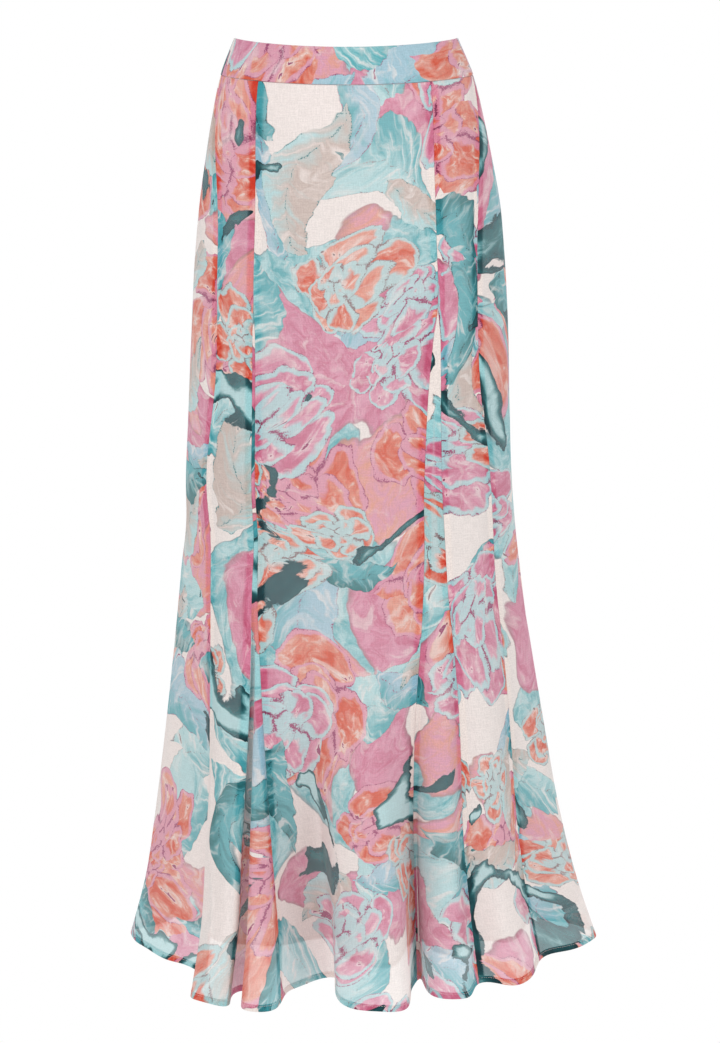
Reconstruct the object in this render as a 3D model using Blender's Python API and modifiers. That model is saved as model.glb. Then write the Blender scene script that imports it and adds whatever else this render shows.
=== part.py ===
"""Long gored skirt, hanging as worn: contoured waistband, nine printed panels, lining, concealed zip.

Metres, +Z up. The origin is the centre of the waist, half way up the waistband at its sides.
The front faces -Y and the wearer's left is +X. The cloth is a hollow tube, open at waist and hem.
"""

import math

import bmesh
import bpy
import numpy as np

MM = 0.001
PANEL_WALL = 1.5 * MM
LINING_WALL = 1.2 * MM
BAND_WALL = 2.6 * MM
SEAM_GAP = 0.3 * MM
LINING_SPACE = 5.5 * MM  # between the middles of panel and lining, where both hang free
LINING_SPACE_TOP = 2.6 * MM  # the same where both are sewn to the waistband
LINING_SPACE_REACHED = -0.120
BAND_SET_BACK = 0.5 * MM  # the band's middle behind the panels' middle

WAIST_TOP = 0.020
WAIST_SEAM = -0.020
HEM = -1.010
LINING_HEM = -0.965
FRONT_DIP = 10.5 * MM  # the waist edge and seam are this much lower at centre front and back
DIP_POWER = 1.5
FLUTE_POWER = 1.35  # how a flute deepens on its way down to the hem

ZIP_END = -0.200
ZIP_OPENING = 1.6 * MM  # between the two edges of the centre back opening
ZIP_DEPTH = 2.4 * MM  # zip's outer face behind the panels' middle
CHAIN_HALF = 3.2 * MM
TAPE_HALF = 12.0 * MM
TAPE_WALL = 0.8 * MM
CHAIN_WALL = 1.4 * MM
LINING_BACK_OPENING = 25.0 * MM  # the lining is sewn back to the outer edges of the zip's tapes
OPENING_SPREAD = 0.080  # a gap at a seam shifts a piece's columns this far from it, less and less
SLIDER_HEIGHT = 7.0 * MM
SLIDER_WALL = 2.9 * MM
SLIDER_BELOW_EDGE = 3.0 * MM
SLIDER_ROUNDING = 0.6 * MM
BRIDGE_WALL = 1.0 * MM
BRIDGE_HALF = 2.8 * MM
BRIDGE_REACH = 4.8 * MM  # from the panels' middle outwards
BRIDGE_ROOT = 1.0 * MM  # how deep the bridge is set into the slider
EYE_REACH_HALF = 1.2 * MM  # the bridge's eye, which holds the pull tab's end bar
EYE_HALF = 1.6 * MM
PIVOT_REACH = 2.6 * MM
PULL_WALL = 1.2 * MM
PULL_LENGTH = 24.0 * MM
PULL_HALF = 3.0 * MM
PULL_TOP_HALF = 2.1 * MM
PULL_BAR = 0.6 * MM  # half the height of the bar that turns in the eye
PULL_WINDOW_HALF = 1.1 * MM
PULL_WINDOW_LENGTH = 3.6 * MM
SMOOTH_BELOW = math.radians(50)  # faces that meet at less than this angle are shaded smooth

# The body under the flutes: an ellipse at each height, its back half deeper than its front half.
LEVELS = [  # height, half_width, front_depth, back_depth, sway
    (0.020, 0.1215, 0.088, 0.088, 0.000),
    (-0.020, 0.1380, 0.095, 0.097, 0.001),
    (-0.070, 0.1500, 0.103, 0.112, 0.002),
    (-0.112, 0.1580, 0.109, 0.123, 0.003),
    (-0.156, 0.1655, 0.114, 0.132, 0.004),
    (-0.210, 0.1710, 0.118, 0.138, 0.004),
    (-0.300, 0.1765, 0.122, 0.140, 0.004),
    (-0.400, 0.1805, 0.124, 0.139, 0.003),
    (-0.470, 0.1838, 0.126, 0.139, 0.003),
    (-0.520, 0.1860, 0.129, 0.140, 0.005),
    (-0.570, 0.1920, 0.133, 0.143, 0.005),
    (-0.660, 0.2050, 0.143, 0.151, 0.008),
    (-0.750, 0.2178, 0.156, 0.162, 0.010),
    (-0.850, 0.2330, 0.170, 0.176, 0.012),
    (-0.940, 0.2505, 0.184, 0.190, 0.016),
    (-1.010, 0.2710, 0.196, 0.202, 0.018),
]

# The hem seen from above, one row for each flute, going round from the right hip by the front:
# the foot where it starts, where its crest starts and ends, the foot where it ends, and the
# height from which it falls open.
FLUTES = [  # name, foot_x, foot_y, rise_x, rise_y, fall_x, fall_y, end_x, end_y, opens_at
    ("side_right", -0.212, 0.052, -0.249, 0.026, -0.240, -0.028, -0.170, -0.112, -0.55),
    ("front_right_outer", -0.155, -0.146, -0.170, -0.196, -0.129, -0.219, -0.123, -0.184, -0.52),
    ("front_right_inner", -0.111, -0.178, -0.109, -0.232, -0.083, -0.233, -0.060, -0.176, -0.60),
    ("front_centre", -0.014, -0.136, -0.007, -0.204, 0.056, -0.238, 0.073, -0.172, -0.54),
    ("front_left_inner", 0.082, -0.142, 0.094, -0.186, 0.132, -0.198, 0.142, -0.164, -0.56),
    ("front_left_outer", 0.154, -0.152, 0.184, -0.156, 0.210, -0.126, 0.216, -0.094, -0.50),
    ("side_left", 0.230, -0.064, 0.270, -0.036, 0.291, 0.008, 0.262, 0.044, -0.55),
    ("hip_left", 0.230, 0.060, 0.256, 0.098, 0.240, 0.146, 0.198, 0.142, -0.58),
    ("back_left_outer", 0.178, 0.142, 0.184, 0.194, 0.140, 0.222, 0.116, 0.176, -0.54),
    ("back_left_inner", 0.098, 0.172, 0.090, 0.230, 0.036, 0.242, 0.024, 0.184, -0.56),
    ("back_right_inner", 0.002, 0.176, -0.010, 0.236, -0.066, 0.238, -0.076, 0.180, -0.56),
    ("back_right_outer", -0.096, 0.168, -0.106, 0.224, -0.160, 0.208, -0.158, 0.152, -0.54),
    ("hip_right", -0.172, 0.132, -0.214, 0.142, -0.238, 0.098, -0.210, 0.074, -0.58),
]

# The lining hangs in the same flutes, but passes inside the deep tuck beside the right godet.
LINING_FLUTES = [
    FLUTES[0],
    ("front_right", -0.155, -0.146, -0.140, -0.158, -0.104, -0.166, -0.064, -0.162, -0.56),
    *FLUTES[3:],
]
LINING_GODET_END = (-0.110, -0.167)  # where the right godet's front seam would meet the lining's hem

# Where each seam runs: its turn round the body (degrees, 0 at the front, + to the wearer's left)
# at each of these heights, and the place on the hem where it ends.
TURN_HEIGHTS = (-0.020, -0.155, -0.250, -0.345, -0.450, -0.570, -0.700, -0.870, -1.010)
SEAMS = {  # name: (turns, hem_x, hem_y)
    "side_right": ((-84, -60, -56, -55, -59, -54, -50, -46, -43), -0.153, -0.156),
    "front_right": ((-43.5, -38, -37, -36, -35.3, -34, -32, -30.5, -29.5), -0.1255, -0.210),
    "godet_right": ((-43.0, -37.3, -36.0, -34.7, -33.8, -32, -29, -24, -20.5), -0.073, -0.209),
    "godet_left": ((40.2, 33.6, 32.5, 29.0, 26.8, 24.5, 19, 16, 14), 0.0775, -0.146),
    "front_left": ((40.7, 34.3, 33.9, 33.8, 33.8, 33.5, 32.5, 29, 27), 0.1465, -0.156),
    "side_left": ((81.5, 57.5, 53, 53, 58.5, 57, 55, 52, 50), 0.219, -0.084),
    "back_left": ((140, 144, 145, 146, 146, 146, 147, 149, 150), 0.106, 0.171),
    "centre_back": ((180, 180, 180, 180, 180, 180, 180, 180, 181), 0.012, 0.178),
    "back_right": ((222, 217, 216, 215, 215, 215, 214, 212, 211), -0.088, 0.171),
}
ROUND = list(SEAMS)  # seams in their order round the skirt, from the right side by the front
GODETS = [("front_right", "godet_right"), ("godet_left", "front_left")]  # the seams beside each
GODET_POINT = -0.262  # above it the two neighbours of a godet are sewn to each other
GODET_TOP = -0.275  # a godet's solid starts here, where it is wide enough to be cut
GODET_OPENS_OVER = 0.030

PANELS = [  # name, first seam, last seam
    ("side_front_right", "side_right", "front_right"),
    ("godet_front_right", "front_right", "godet_right"),
    ("centre_front", "godet_right", "godet_left"),
    ("godet_front_left", "godet_left", "front_left"),
    ("side_front_left", "front_left", "side_left"),
    ("side_back_left", "side_left", "back_left"),
    ("centre_back_left", "back_left", "centre_back"),
    ("centre_back_right", "centre_back", "back_right"),
    ("side_back_right", "back_right", "side_right"),
]
LININGS = [  # name, first seam, last seam
    ("lining_front", "side_right", "side_left"),
    ("lining_back_left", "side_left", "centre_back"),
    ("lining_back_right", "centre_back", "side_right"),
]
BANDS = [
    ("waistband_front", "side_right", "side_left"),
    ("waistband_back_left", "side_left", "centre_back"),
    ("waistband_back_right", "centre_back", "side_right"),
]

PANEL_ROWS = (WAIST_SEAM, -0.070, -0.120, -0.200, GODET_POINT, GODET_TOP, -0.330, -0.420,
              -0.500, -0.580, -0.660, -0.740, -0.820, -0.880, -0.925, -0.965, HEM)
LINING_ROWS = (WAIST_SEAM, -0.070, -0.120, -0.200, -0.350, -0.500, -0.620, -0.740,
               -0.840, -0.910, LINING_HEM)
BAND_ROWS = (0.0, 0.5, 1.0)
BAND_STEP = 7.0  # degrees between a waistband's columns
SMALLEST_COLUMN = 5.0 * MM

COLOURS = {  # linear base colour, roughness, metallic
    "centre": ((0.72, 0.38, 0.40), 0.80, 0.0),
    "side": ((0.45, 0.66, 0.68), 0.80, 0.0),
    "godet": ((0.78, 0.34, 0.28), 0.80, 0.0),
    "band": ((0.74, 0.42, 0.46), 0.78, 0.0),
    "lining": ((0.86, 0.82, 0.79), 0.70, 0.0),
    "tape": ((0.80, 0.76, 0.73), 0.75, 0.0),
    "chain": ((0.70, 0.66, 0.62), 0.45, 0.0),
    "metal": ((0.60, 0.58, 0.55), 0.35, 1.0),
}


def curve_through(knots, values, at):
    """Smooth curve through values at rising knots, read at any places."""
    knots = np.asarray(knots, float)
    values = np.asarray(values, float)
    step = np.diff(knots)
    rise = np.diff(values) / step
    inner = (rise[:-1] * step[1:] + rise[1:] * step[:-1]) / (step[:-1] + step[1:])
    slope = np.concatenate([rise[:1], inner, rise[-1:]])
    at = np.clip(at, knots[0], knots[-1])
    i = np.clip(np.searchsorted(knots, at) - 1, 0, len(knots) - 2)
    h = knots[i + 1] - knots[i]
    t = (at - knots[i]) / h
    start = (2 * t**3 - 3 * t**2 + 1) * values[i] + (t**3 - 2 * t**2 + t) * h * slope[i]
    end = (3 * t**2 - 2 * t**3) * values[i + 1] + (t**3 - t**2) * h * slope[i + 1]
    return start + end


def closed_spline(points, samples_per_span=120):
    """Closed cubic spline through plan points: dense points on it, and each knot's sample."""
    knots = np.asarray(points, float)
    count = len(knots)
    span = np.linalg.norm(np.roll(knots, -1, 0) - knots, axis=1) ** 0.75
    matrix = np.zeros((count, count))
    right = np.zeros((count, 2))
    for i in range(count):
        before, after = span[i - 1], span[i]
        following = (i + 1) % count
        matrix[i, i - 1] += after
        matrix[i, i] += 2 * (before + after)
        matrix[i, following] += before
        right[i] = 3 * (after / before * (knots[i] - knots[i - 1])
                        + before / after * (knots[following] - knots[i]))
    slopes = np.linalg.solve(matrix, right)
    t = (np.arange(samples_per_span) / samples_per_span)[:, None]
    pieces = []
    for i in range(count):
        following = (i + 1) % count
        pieces.append((2 * t**3 - 3 * t**2 + 1) * knots[i] + (t**3 - 2 * t**2 + t) * span[i] * slopes[i]
                      + (3 * t**2 - 2 * t**3) * knots[following]
                      + (t**3 - t**2) * span[i] * slopes[following])
    return np.concatenate(pieces), np.arange(count) * samples_per_span


def level(column, height):
    """One column of LEVELS at any height."""
    rows = LEVELS[::-1]
    return curve_through([row[0] for row in rows], [row[column] for row in rows], height)


def body(turn, height):
    """Plan point of the body under the flutes, at a turn in degrees."""
    angle = np.radians(turn)
    depth = np.where(np.cos(angle) > 0, level(2, height), level(3, height))
    return np.stack([level(4, height) + level(1, height) * np.sin(angle), -depth * np.cos(angle)], -1)


def dip(turn):
    """How far the waist edge and seam sink at a turn round the body."""
    return FRONT_DIP * np.abs(np.cos(np.radians(turn))) ** DIP_POWER


def seam_turns(height, godets=True):
    """Turns of all seams at each height, with the first one again a full turn on.

    With godets, the two seams of each godet are one seam above its point.
    """
    heights = TURN_HEIGHTS[::-1]
    turns = {name: curve_through(heights, SEAMS[name][0][::-1], height) for name in ROUND}
    if godets:
        opened = np.clip((GODET_POINT - height) / GODET_OPENS_OVER, 0.0, 1.0)
        for first, last in GODETS:
            middle = (turns[first] + turns[last]) / 2
            half = (turns[last] - turns[first]) / 2 * opened
            turns[first], turns[last] = middle - half, middle + half
    turns = list(turns.values())
    return np.stack(turns + [turns[0] + 360.0])


class Cloth:
    """A fluted tube of cloth. A place on it is a distance along its hem and a nominal height."""

    def __init__(self, flutes, bend_columns, godets=True, **moved_ends):
        self.godets = godets
        plan = [(row[k], row[k + 1]) for row in flutes for k in (1, 3, 5, 7)]
        points, knots = closed_spline(plan)
        steps = np.linalg.norm(np.roll(points, -1, 0) - points, axis=1)
        self.arcs = np.concatenate([[0.0], np.cumsum(steps)])
        self.length = self.arcs[-1]
        self.hem_points = np.vstack([points, points[:1]])
        knots = self.arcs[knots]
        spans = zip(knots, np.append(knots[1:], self.length))  # wall, crest, wall and valley in turn
        self.columns = np.concatenate([np.linspace(start, end, bend_columns if i % 2 else 2, endpoint=False)
                                       for i, (start, end) in enumerate(spans)])
        crests = (knots[1::4] + knots[2::4]) / 2
        self.crests = np.concatenate([crests - self.length, crests, crests + self.length])
        self.openings = np.tile([row[9] for row in flutes], 3)
        ends = [moved_ends.get(name, SEAMS[name][1:]) for name in ROUND]
        places = [self.arcs[np.argmin(np.hypot(*(points - end).T))] for end in ends]
        self.places = np.array([place + self.length * (place < places[0]) for place in places]
                               + [places[0] + self.length])

    def hem(self, arc):
        """Plan point of the hem line."""
        arc = np.mod(arc, self.length)
        return np.stack([np.interp(arc, self.arcs, self.hem_points[:, k]) for k in (0, 1)], -1)

    def turn(self, arc, height):
        """Turn round the body at a place: even between two seams."""
        arc = self.places[0] + np.mod(arc - self.places[0], self.length)
        turns = seam_turns(height, self.godets)
        i = np.clip(np.searchsorted(self.places, arc, side="right") - 1, 0, len(ROUND) - 1)
        first = np.take_along_axis(turns, i[None], 0)[0]
        last = np.take_along_axis(turns, i[None] + 1, 0)[0]
        return first + (last - first) * (arc - self.places[i]) / (self.places[i + 1] - self.places[i])

    def middle(self, arc, height):
        """Middle of the cloth: the body, drawn out to the fluted hem below the knee."""
        arc, height = np.broadcast_arrays(np.asarray(arc, float), np.asarray(height, float))
        turn = self.turn(arc, height)
        opens = np.interp(np.mod(arc, self.length), self.crests, self.openings)
        share = np.clip((opens - height) / (opens - HEM), 0.0, None) ** FLUTE_POWER
        floor = np.full_like(height, HEM)
        plan = body(turn, height) + share[..., None] * (self.hem(arc) - body(self.turn(arc, floor), floor))
        fade = np.clip((height - HEM) / (WAIST_SEAM - HEM), 0.0, None) ** 4
        return np.concatenate([plan, (height - dip(turn) * fade)[..., None]], -1)

    def columns_between(self, first, last):
        """Places of a piece's columns, with its two seams as the ends."""
        start = self.places[ROUND.index(first)]
        end = self.places[ROUND.index(last)]
        if end <= start:
            end += self.length
        every = np.concatenate([self.columns, self.columns + self.length])
        inside = every[(every > start + SMALLEST_COLUMN) & (every < end - SMALLEST_COLUMN)]
        return np.concatenate([[start], inside, [end]])


PRINTED = Cloth(FLUTES, bend_columns=3)
LINED = Cloth(LINING_FLUTES, bend_columns=2, godets=False, godet_right=LINING_GODET_END)


def directions(surface, arc, height, step=0.0008):
    """Outward normal and the unit vector round the skirt at points of a surface."""
    along = surface(arc + step, height) - surface(arc - step, height)
    up = surface(arc, height + step) - surface(arc, height - step)
    normal = np.cross(along, up)
    return (normal / np.linalg.norm(normal, axis=-1, keepdims=True),
            along / np.linalg.norm(along, axis=-1, keepdims=True))


def back_opening(heights, zip_half):
    """Half gap at the centre back: wide beside the zip, a sewn seam below it."""
    return np.where(np.asarray(heights) >= ZIP_END - 1e-9, zip_half, SEAM_GAP / 2)


def sheet_grid(cloth, heights, offset, first, last, zip_half):
    """Points of one face of a piece, rows from its top to its hem, with seam gaps at both ends."""
    arc, height = np.meshgrid(cloth.columns_between(first, last), np.asarray(heights, float))
    normal, along = directions(cloth.middle, arc, height)
    points = cloth.middle(arc, height) + normal * np.broadcast_to(offset, arc.shape)[..., None]
    for end, seam, side in ((0, first, 1.0), (-1, last, -1.0)):
        if seam == "centre_back":
            half = back_opening(heights, zip_half)[:, None]
            reach = np.linalg.norm(points - points[:, end][:, None], axis=-1)
            share = np.clip(1.0 - reach / OPENING_SPREAD, 0.0, None)
            points = points + side * (half * share)[..., None] * along
        else:
            points[:, end] += side * SEAM_GAP / 2 * along[:, end]
    return points


def make_material(name, key):
    colour, roughness, metallic = COLOURS[key]
    material = bpy.data.materials.new(name)
    material.use_nodes = True
    shader = material.node_tree.nodes["Principled BSDF"]
    shader.inputs["Base Color"].default_value = (*colour, 1.0)
    shader.inputs["Roughness"].default_value = roughness
    shader.inputs["Metallic"].default_value = metallic
    return material


def put_in_part(obj, key):
    """Gives a finished object its material and its place in the part's collection."""
    obj.data.materials.append(make_material(obj.name + "_material", key))
    for collection in list(obj.users_collection):
        collection.objects.unlink(obj)
    PART.objects.link(obj)
    return obj


def loft_wall(name, outer, inner, key):
    """A closed cloth wall lofted between its outer and inner faces, each a grid of points."""
    rows, cols = outer.shape[:2]
    mesh = bmesh.new()
    faces = []
    for grid in (outer, inner):
        faces.append([[mesh.verts.new(point) for point in row] for row in grid])
    front, back = faces
    for r in range(rows - 1):
        for c in range(cols - 1):
            mesh.faces.new((front[r][c], front[r + 1][c], front[r + 1][c + 1], front[r][c + 1]))
            mesh.faces.new((back[r][c], back[r][c + 1], back[r + 1][c + 1], back[r + 1][c]))
    rim = [(0, c) for c in range(cols)] + [(r, cols - 1) for r in range(1, rows)]
    rim += [(rows - 1, c) for c in range(cols - 2, -1, -1)] + [(r, 0) for r in range(rows - 2, 0, -1)]
    for (r0, c0), (r1, c1) in zip(rim, rim[1:] + rim[:1]):
        mesh.faces.new((front[r0][c0], front[r1][c1], back[r1][c1], back[r0][c0]))
    bmesh.ops.recalc_face_normals(mesh, faces=mesh.faces)
    data = bpy.data.meshes.new(name)
    mesh.to_mesh(data)
    mesh.free()
    data.shade_smooth()
    data.set_sharp_from_angle(angle=SMOOTH_BELOW)
    return put_in_part(bpy.data.objects.new(name, data), key)


def make_panel(name, first, last):
    """A printed panel, cut from waist seam to hem, or a godet, cut from its point to the hem."""
    rows = PANEL_ROWS
    if (first, last) in GODETS:
        rows = [height for height in rows if height <= GODET_TOP]
    outer, inner = (sheet_grid(PRINTED, rows, side * PANEL_WALL / 2, first, last,
                               ZIP_OPENING / 2) for side in (1, -1))
    kind = "godet" if name.startswith("godet") else "centre" if name.startswith("centre") else "side"
    loft_wall(name, outer, inner, kind)


def make_lining(name, first, last):
    """A lining piece: it hangs inside the panels, in their flutes, and stops above the hem."""
    heights = np.asarray(LINING_ROWS)
    share = np.clip((WAIST_SEAM - heights) / (WAIST_SEAM - LINING_SPACE_REACHED), 0.0, 1.0)
    space = (LINING_SPACE_TOP + (LINING_SPACE - LINING_SPACE_TOP) * share)[:, None]
    outer, inner = (sheet_grid(LINED, LINING_ROWS, -space + side * LINING_WALL / 2, first, last,
                               LINING_BACK_OPENING / 2) for side in (1, -1))
    loft_wall(name, outer, inner, "lining")


def band_surface(turn, share):
    """Middle of the waistband: share 0 on its lower seam, 1 on its top edge."""
    height = WAIST_SEAM + SEAM_GAP + (WAIST_TOP - WAIST_SEAM - SEAM_GAP) * share
    return np.concatenate([body(turn, height), (height - dip(turn))[..., None]], -1)


def make_band(name, first, last):
    """A waistband piece: two layers of cloth with interfacing, as one thick wall."""
    turns = seam_turns(np.array(WAIST_SEAM))
    start = turns[ROUND.index(first)]
    end = turns[ROUND.index(last)]
    if end <= start:
        end += 360.0
    columns = np.linspace(start, end, max(2, round((end - start) / BAND_STEP)) + 1)
    turn, share = np.meshgrid(columns, BAND_ROWS[::-1])
    step = 0.05
    along = band_surface(turn + step, share) - band_surface(turn - step, share)
    up = band_surface(turn, share + step) - band_surface(turn, share - step)
    normal = np.cross(along, up)
    normal /= np.linalg.norm(normal, axis=-1, keepdims=True)
    along /= np.linalg.norm(along, axis=-1, keepdims=True)
    middle = band_surface(turn, share) - BAND_SET_BACK * normal
    for end, seam, side in ((0, first, 1.0), (-1, last, -1.0)):
        half = ZIP_OPENING / 2 if seam == "centre_back" else SEAM_GAP / 2
        middle[:, end] += side * half * along[:, end]
    loft_wall(name, middle + normal * BAND_WALL / 2, middle - normal * BAND_WALL / 2, "band")


def back_edge(height):
    """Middle of the cloth on the centre back line, and the outward direction there."""
    if height > WAIST_SEAM:
        centre = np.array([180.0])
        share = np.array([(height - WAIST_SEAM) / (WAIST_TOP - WAIST_SEAM)])
        point = band_surface(centre, share)[0]
        up = (band_surface(centre, share + 0.05) - band_surface(centre, share - 0.05))[0]
    else:
        place = PRINTED.places[ROUND.index("centre_back")]
        point = PRINTED.middle(place, height)
        up = PRINTED.middle(place, height + MM) - PRINTED.middle(place, height - MM)
    outward = np.array([0.0, up[2], -up[1]])
    return point, outward / np.linalg.norm(outward)


def strip(name, left, right, top, wall, key):
    """A narrow band behind the centre back line, from one distance beside it to another."""
    heights = [top] + [height for height in PANEL_ROWS if height >= ZIP_END - MM / 10]
    faces = []
    for depth in (ZIP_DEPTH, ZIP_DEPTH + wall):
        rows = []
        for height in heights:
            point, outward = back_edge(height)
            bend = level(3, height) / level(1, height) ** 2 / 2
            rows.append([point + np.array([side, 0, 0]) - outward * (depth + bend * side**2)
                         for side in (left, right)])
        faces.append(np.array(rows))
    loft_wall(name, faces[0], faces[1], key)


def flat_piece(name, outlines, wall):
    """A flat plate from closed outlines in its own XY plane; a second outline is a hole."""
    curve = bpy.data.curves.new(name, "CURVE")
    curve.dimensions = "2D"
    curve.fill_mode = "BOTH"
    curve.extrude = wall / 2
    for outline in outlines:
        spline = curve.splines.new("POLY")
        spline.points.add(len(outline) - 1)
        for point, (x, y) in zip(spline.points, outline):
            point.co = (x, y, 0.0, 1.0)
        spline.use_cyclic_u = True
    temporary = bpy.data.objects.new(name + "_curve", curve)
    bpy.context.scene.collection.objects.link(temporary)
    graph = bpy.context.evaluated_depsgraph_get()
    data = bpy.data.meshes.new_from_object(temporary.evaluated_get(graph))
    bpy.data.objects.remove(temporary)
    bpy.data.curves.remove(curve)
    mesh = bmesh.new()
    mesh.from_mesh(data)
    bmesh.ops.remove_doubles(mesh, verts=mesh.verts, dist=0.00001)
    bmesh.ops.recalc_face_normals(mesh, faces=mesh.faces)
    mesh.to_mesh(data)
    mesh.free()
    obj = bpy.data.objects.new(name, data)
    return obj


def rectangle(x0, x1, y0, y1):
    return [(x0, y0), (x1, y0), (x1, y1), (x0, y1)]


def make_zip():
    """Concealed zip: two tapes, the closed chain, the slider and its pull tab."""
    top = WAIST_TOP - SLIDER_BELOW_EDGE
    chain_top = top - SLIDER_HEIGHT - SEAM_GAP
    strip("zip_tape_right", -CHAIN_HALF - SEAM_GAP, -TAPE_HALF, top, TAPE_WALL, "tape")
    strip("zip_tape_left", TAPE_HALF, CHAIN_HALF + SEAM_GAP, top, TAPE_WALL, "tape")
    strip("zip_chain", CHAIN_HALF, -CHAIN_HALF, chain_top, CHAIN_WALL, "chain")

    middle = top - SLIDER_HEIGHT / 2
    point, outward = back_edge(middle)
    lean = math.atan2(outward[2], outward[1])

    bpy.ops.mesh.primitive_cube_add(size=1.0)
    slider = bpy.context.active_object
    slider.name = slider.data.name = "zip_slider"
    for vertex in slider.data.vertices:
        vertex.co.x *= 2 * CHAIN_HALF
        vertex.co.y = vertex.co.y * SLIDER_WALL - ZIP_DEPTH - SLIDER_WALL / 2
        vertex.co.z *= SLIDER_HEIGHT
    bevel = slider.modifiers.new("Rounded edges", "BEVEL")
    bevel.width = SLIDER_ROUNDING
    bevel.segments = 2
    eye = rectangle(PIVOT_REACH - EYE_REACH_HALF, PIVOT_REACH + EYE_REACH_HALF, -EYE_HALF, EYE_HALF)
    outline = rectangle(-ZIP_DEPTH - BRIDGE_ROOT, BRIDGE_REACH, -BRIDGE_HALF, BRIDGE_HALF)
    bridge = flat_piece("slider_bridge", [outline, eye], BRIDGE_WALL)
    for vertex in bridge.data.vertices:
        vertex.co = (vertex.co.z, vertex.co.x, vertex.co.y)
    CUTTERS.objects.link(bridge)
    bridge.hide_render = True
    bridge.display_type = "WIRE"
    union = slider.modifiers.new("Bridge", "BOOLEAN")
    union.operation = "UNION"
    union.object = bridge
    for obj in (slider, bridge):
        obj.location = point
        obj.rotation_euler = (lean, 0.0, 0.0)
    put_in_part(slider, "metal")

    round_end = [(PULL_HALF * math.cos(a), -PULL_LENGTH + PULL_HALF + PULL_HALF * math.sin(a))
                 for a in np.radians(np.linspace(180, 360, 9))]
    outline = [(PULL_TOP_HALF, PULL_BAR), (-PULL_TOP_HALF, PULL_BAR)] + round_end
    window = rectangle(-PULL_WINDOW_HALF, PULL_WINDOW_HALF, -PULL_BAR - PULL_WINDOW_LENGTH, -PULL_BAR)
    pull = flat_piece("zip_pull", [outline, window], PULL_WALL)
    for vertex in pull.data.vertices:
        vertex.co = (vertex.co.x, -vertex.co.z, vertex.co.y)
    pull.location = point + outward * PIVOT_REACH
    pull.rotation_euler = (lean, 0.0, 0.0)
    put_in_part(pull, "metal")


for old in list(bpy.data.objects):
    bpy.data.objects.remove(old)
PART = bpy.data.collections.new("maxi_skirt")
CUTTERS = bpy.data.collections.new("cutters")
bpy.context.scene.collection.children.link(PART)
bpy.context.scene.collection.children.link(CUTTERS)

for panel in PANELS:
    make_panel(*panel)
for piece in LININGS:
    make_lining(*piece)
for piece in BANDS:
    make_band(*piece)
make_zip()
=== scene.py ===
"""Long gored skirt of printed voile: panels, lining, waistband, stitching and concealed zip."""

import math

import bmesh
import bpy
import numpy as np
from bpy.props import FloatProperty, FloatVectorProperty, PointerProperty
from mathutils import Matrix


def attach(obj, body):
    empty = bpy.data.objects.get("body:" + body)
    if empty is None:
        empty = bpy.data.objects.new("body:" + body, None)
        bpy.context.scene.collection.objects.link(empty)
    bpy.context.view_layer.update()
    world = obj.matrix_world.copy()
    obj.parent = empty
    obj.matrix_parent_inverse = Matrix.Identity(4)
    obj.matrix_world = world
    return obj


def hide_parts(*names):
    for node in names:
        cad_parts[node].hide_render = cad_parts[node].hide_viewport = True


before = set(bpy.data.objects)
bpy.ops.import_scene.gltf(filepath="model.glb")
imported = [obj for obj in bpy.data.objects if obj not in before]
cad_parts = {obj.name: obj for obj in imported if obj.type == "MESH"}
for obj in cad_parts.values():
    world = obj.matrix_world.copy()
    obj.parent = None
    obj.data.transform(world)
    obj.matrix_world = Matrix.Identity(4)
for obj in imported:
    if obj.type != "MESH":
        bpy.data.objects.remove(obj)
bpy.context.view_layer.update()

bl_info = {
    "name": "Printed maxi skirt",
    "version": (1, 0, 0),
    "blender": (4, 5, 0),
    "location": "3D View > Sidebar > Skirt",
    "description": "Builds a long gored skirt of printed voile around its packed solids",
    "category": "Object",
}

MM = 0.001
WAIST_TOP = 0.020
WAIST_SEAM = -0.020
HEM = -1.010
LINING_HEM = -0.965
FRONT_DIP = 10.5 * MM  # the waist edge and seam are this much lower at centre front and back
DIP_POWER = 1.5
FLUTE_POWER = 1.35  # how a flute deepens on its way down to the hem
SEAM_GAP = 0.3 * MM
LINING_SPACE_TOP = 2.6 * MM  # the lining's face lies this far behind the panels' middle at the waist
LINING_SPACE = 5.5 * MM  # and this far from the next height down
LINING_SPACE_REACHED = -0.120
BAND_SET_BACK = 0.5 * MM
BAND_WALL = 2.6 * MM
BAND_CROWN = 0.8  # height of the rounded top edge, beside half of the wall
BAND_TURN_STEP = 1.2  # degrees between the columns of its mesh
BAND_STITCHED_AT = 0.07  # its inner side is sewn down at this share of its height
ZIP_END = -0.200
ZIP_OPENING = 1.6 * MM
ZIP_DEPTH = 2.4 * MM
LINING_BACK_OPENING = 25.0 * MM
CHAIN_HALF = 3.2 * MM
COIL_DEPTH = 0.7 * MM  # the coil's middle lies this much behind the face of the tapes
COIL_REACH = CHAIN_HALF - 0.35 * MM
COIL_FILAMENT = 0.55 * MM
COIL_HEAD = 0.95 * MM
TAPE_HALF = 12.0 * MM
TAPE_WALL = 0.32 * MM
TAPE_STEP = 0.35 * MM  # the tape's inner edge stands this much nearer to the cloth
TAPE_STEP_OVER = 1.5 * MM
SLIDER_HEIGHT = 7.0 * MM
SLIDER_BELOW_EDGE = 3.0 * MM
ROW_SPACING = 1.25  # rows of a sheet's mesh lie this much further apart than its columns
LINING_SPACING = 2.0  # the lining's mesh is this much coarser than the panels'
LINING_SHARE = 0.8  # the lining's thickness and hem depth beside the printed cloth's
STITCHED_AT = 0.8  # a hem is sewn at this share of its depth
FLOOR_HEIGHT = -1.45
FLOOR_HALF = 8.0
CAMERA_PLACE = (0.0153, -2.75, -0.02)
CAMERA_TILT = 79.74  # degrees, 90 is level
CAMERA_LENS = 85.14  # mm, on a sensor 36 mm wide
LAMPS_AIM = (0.0, 0.0, -0.5)
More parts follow.
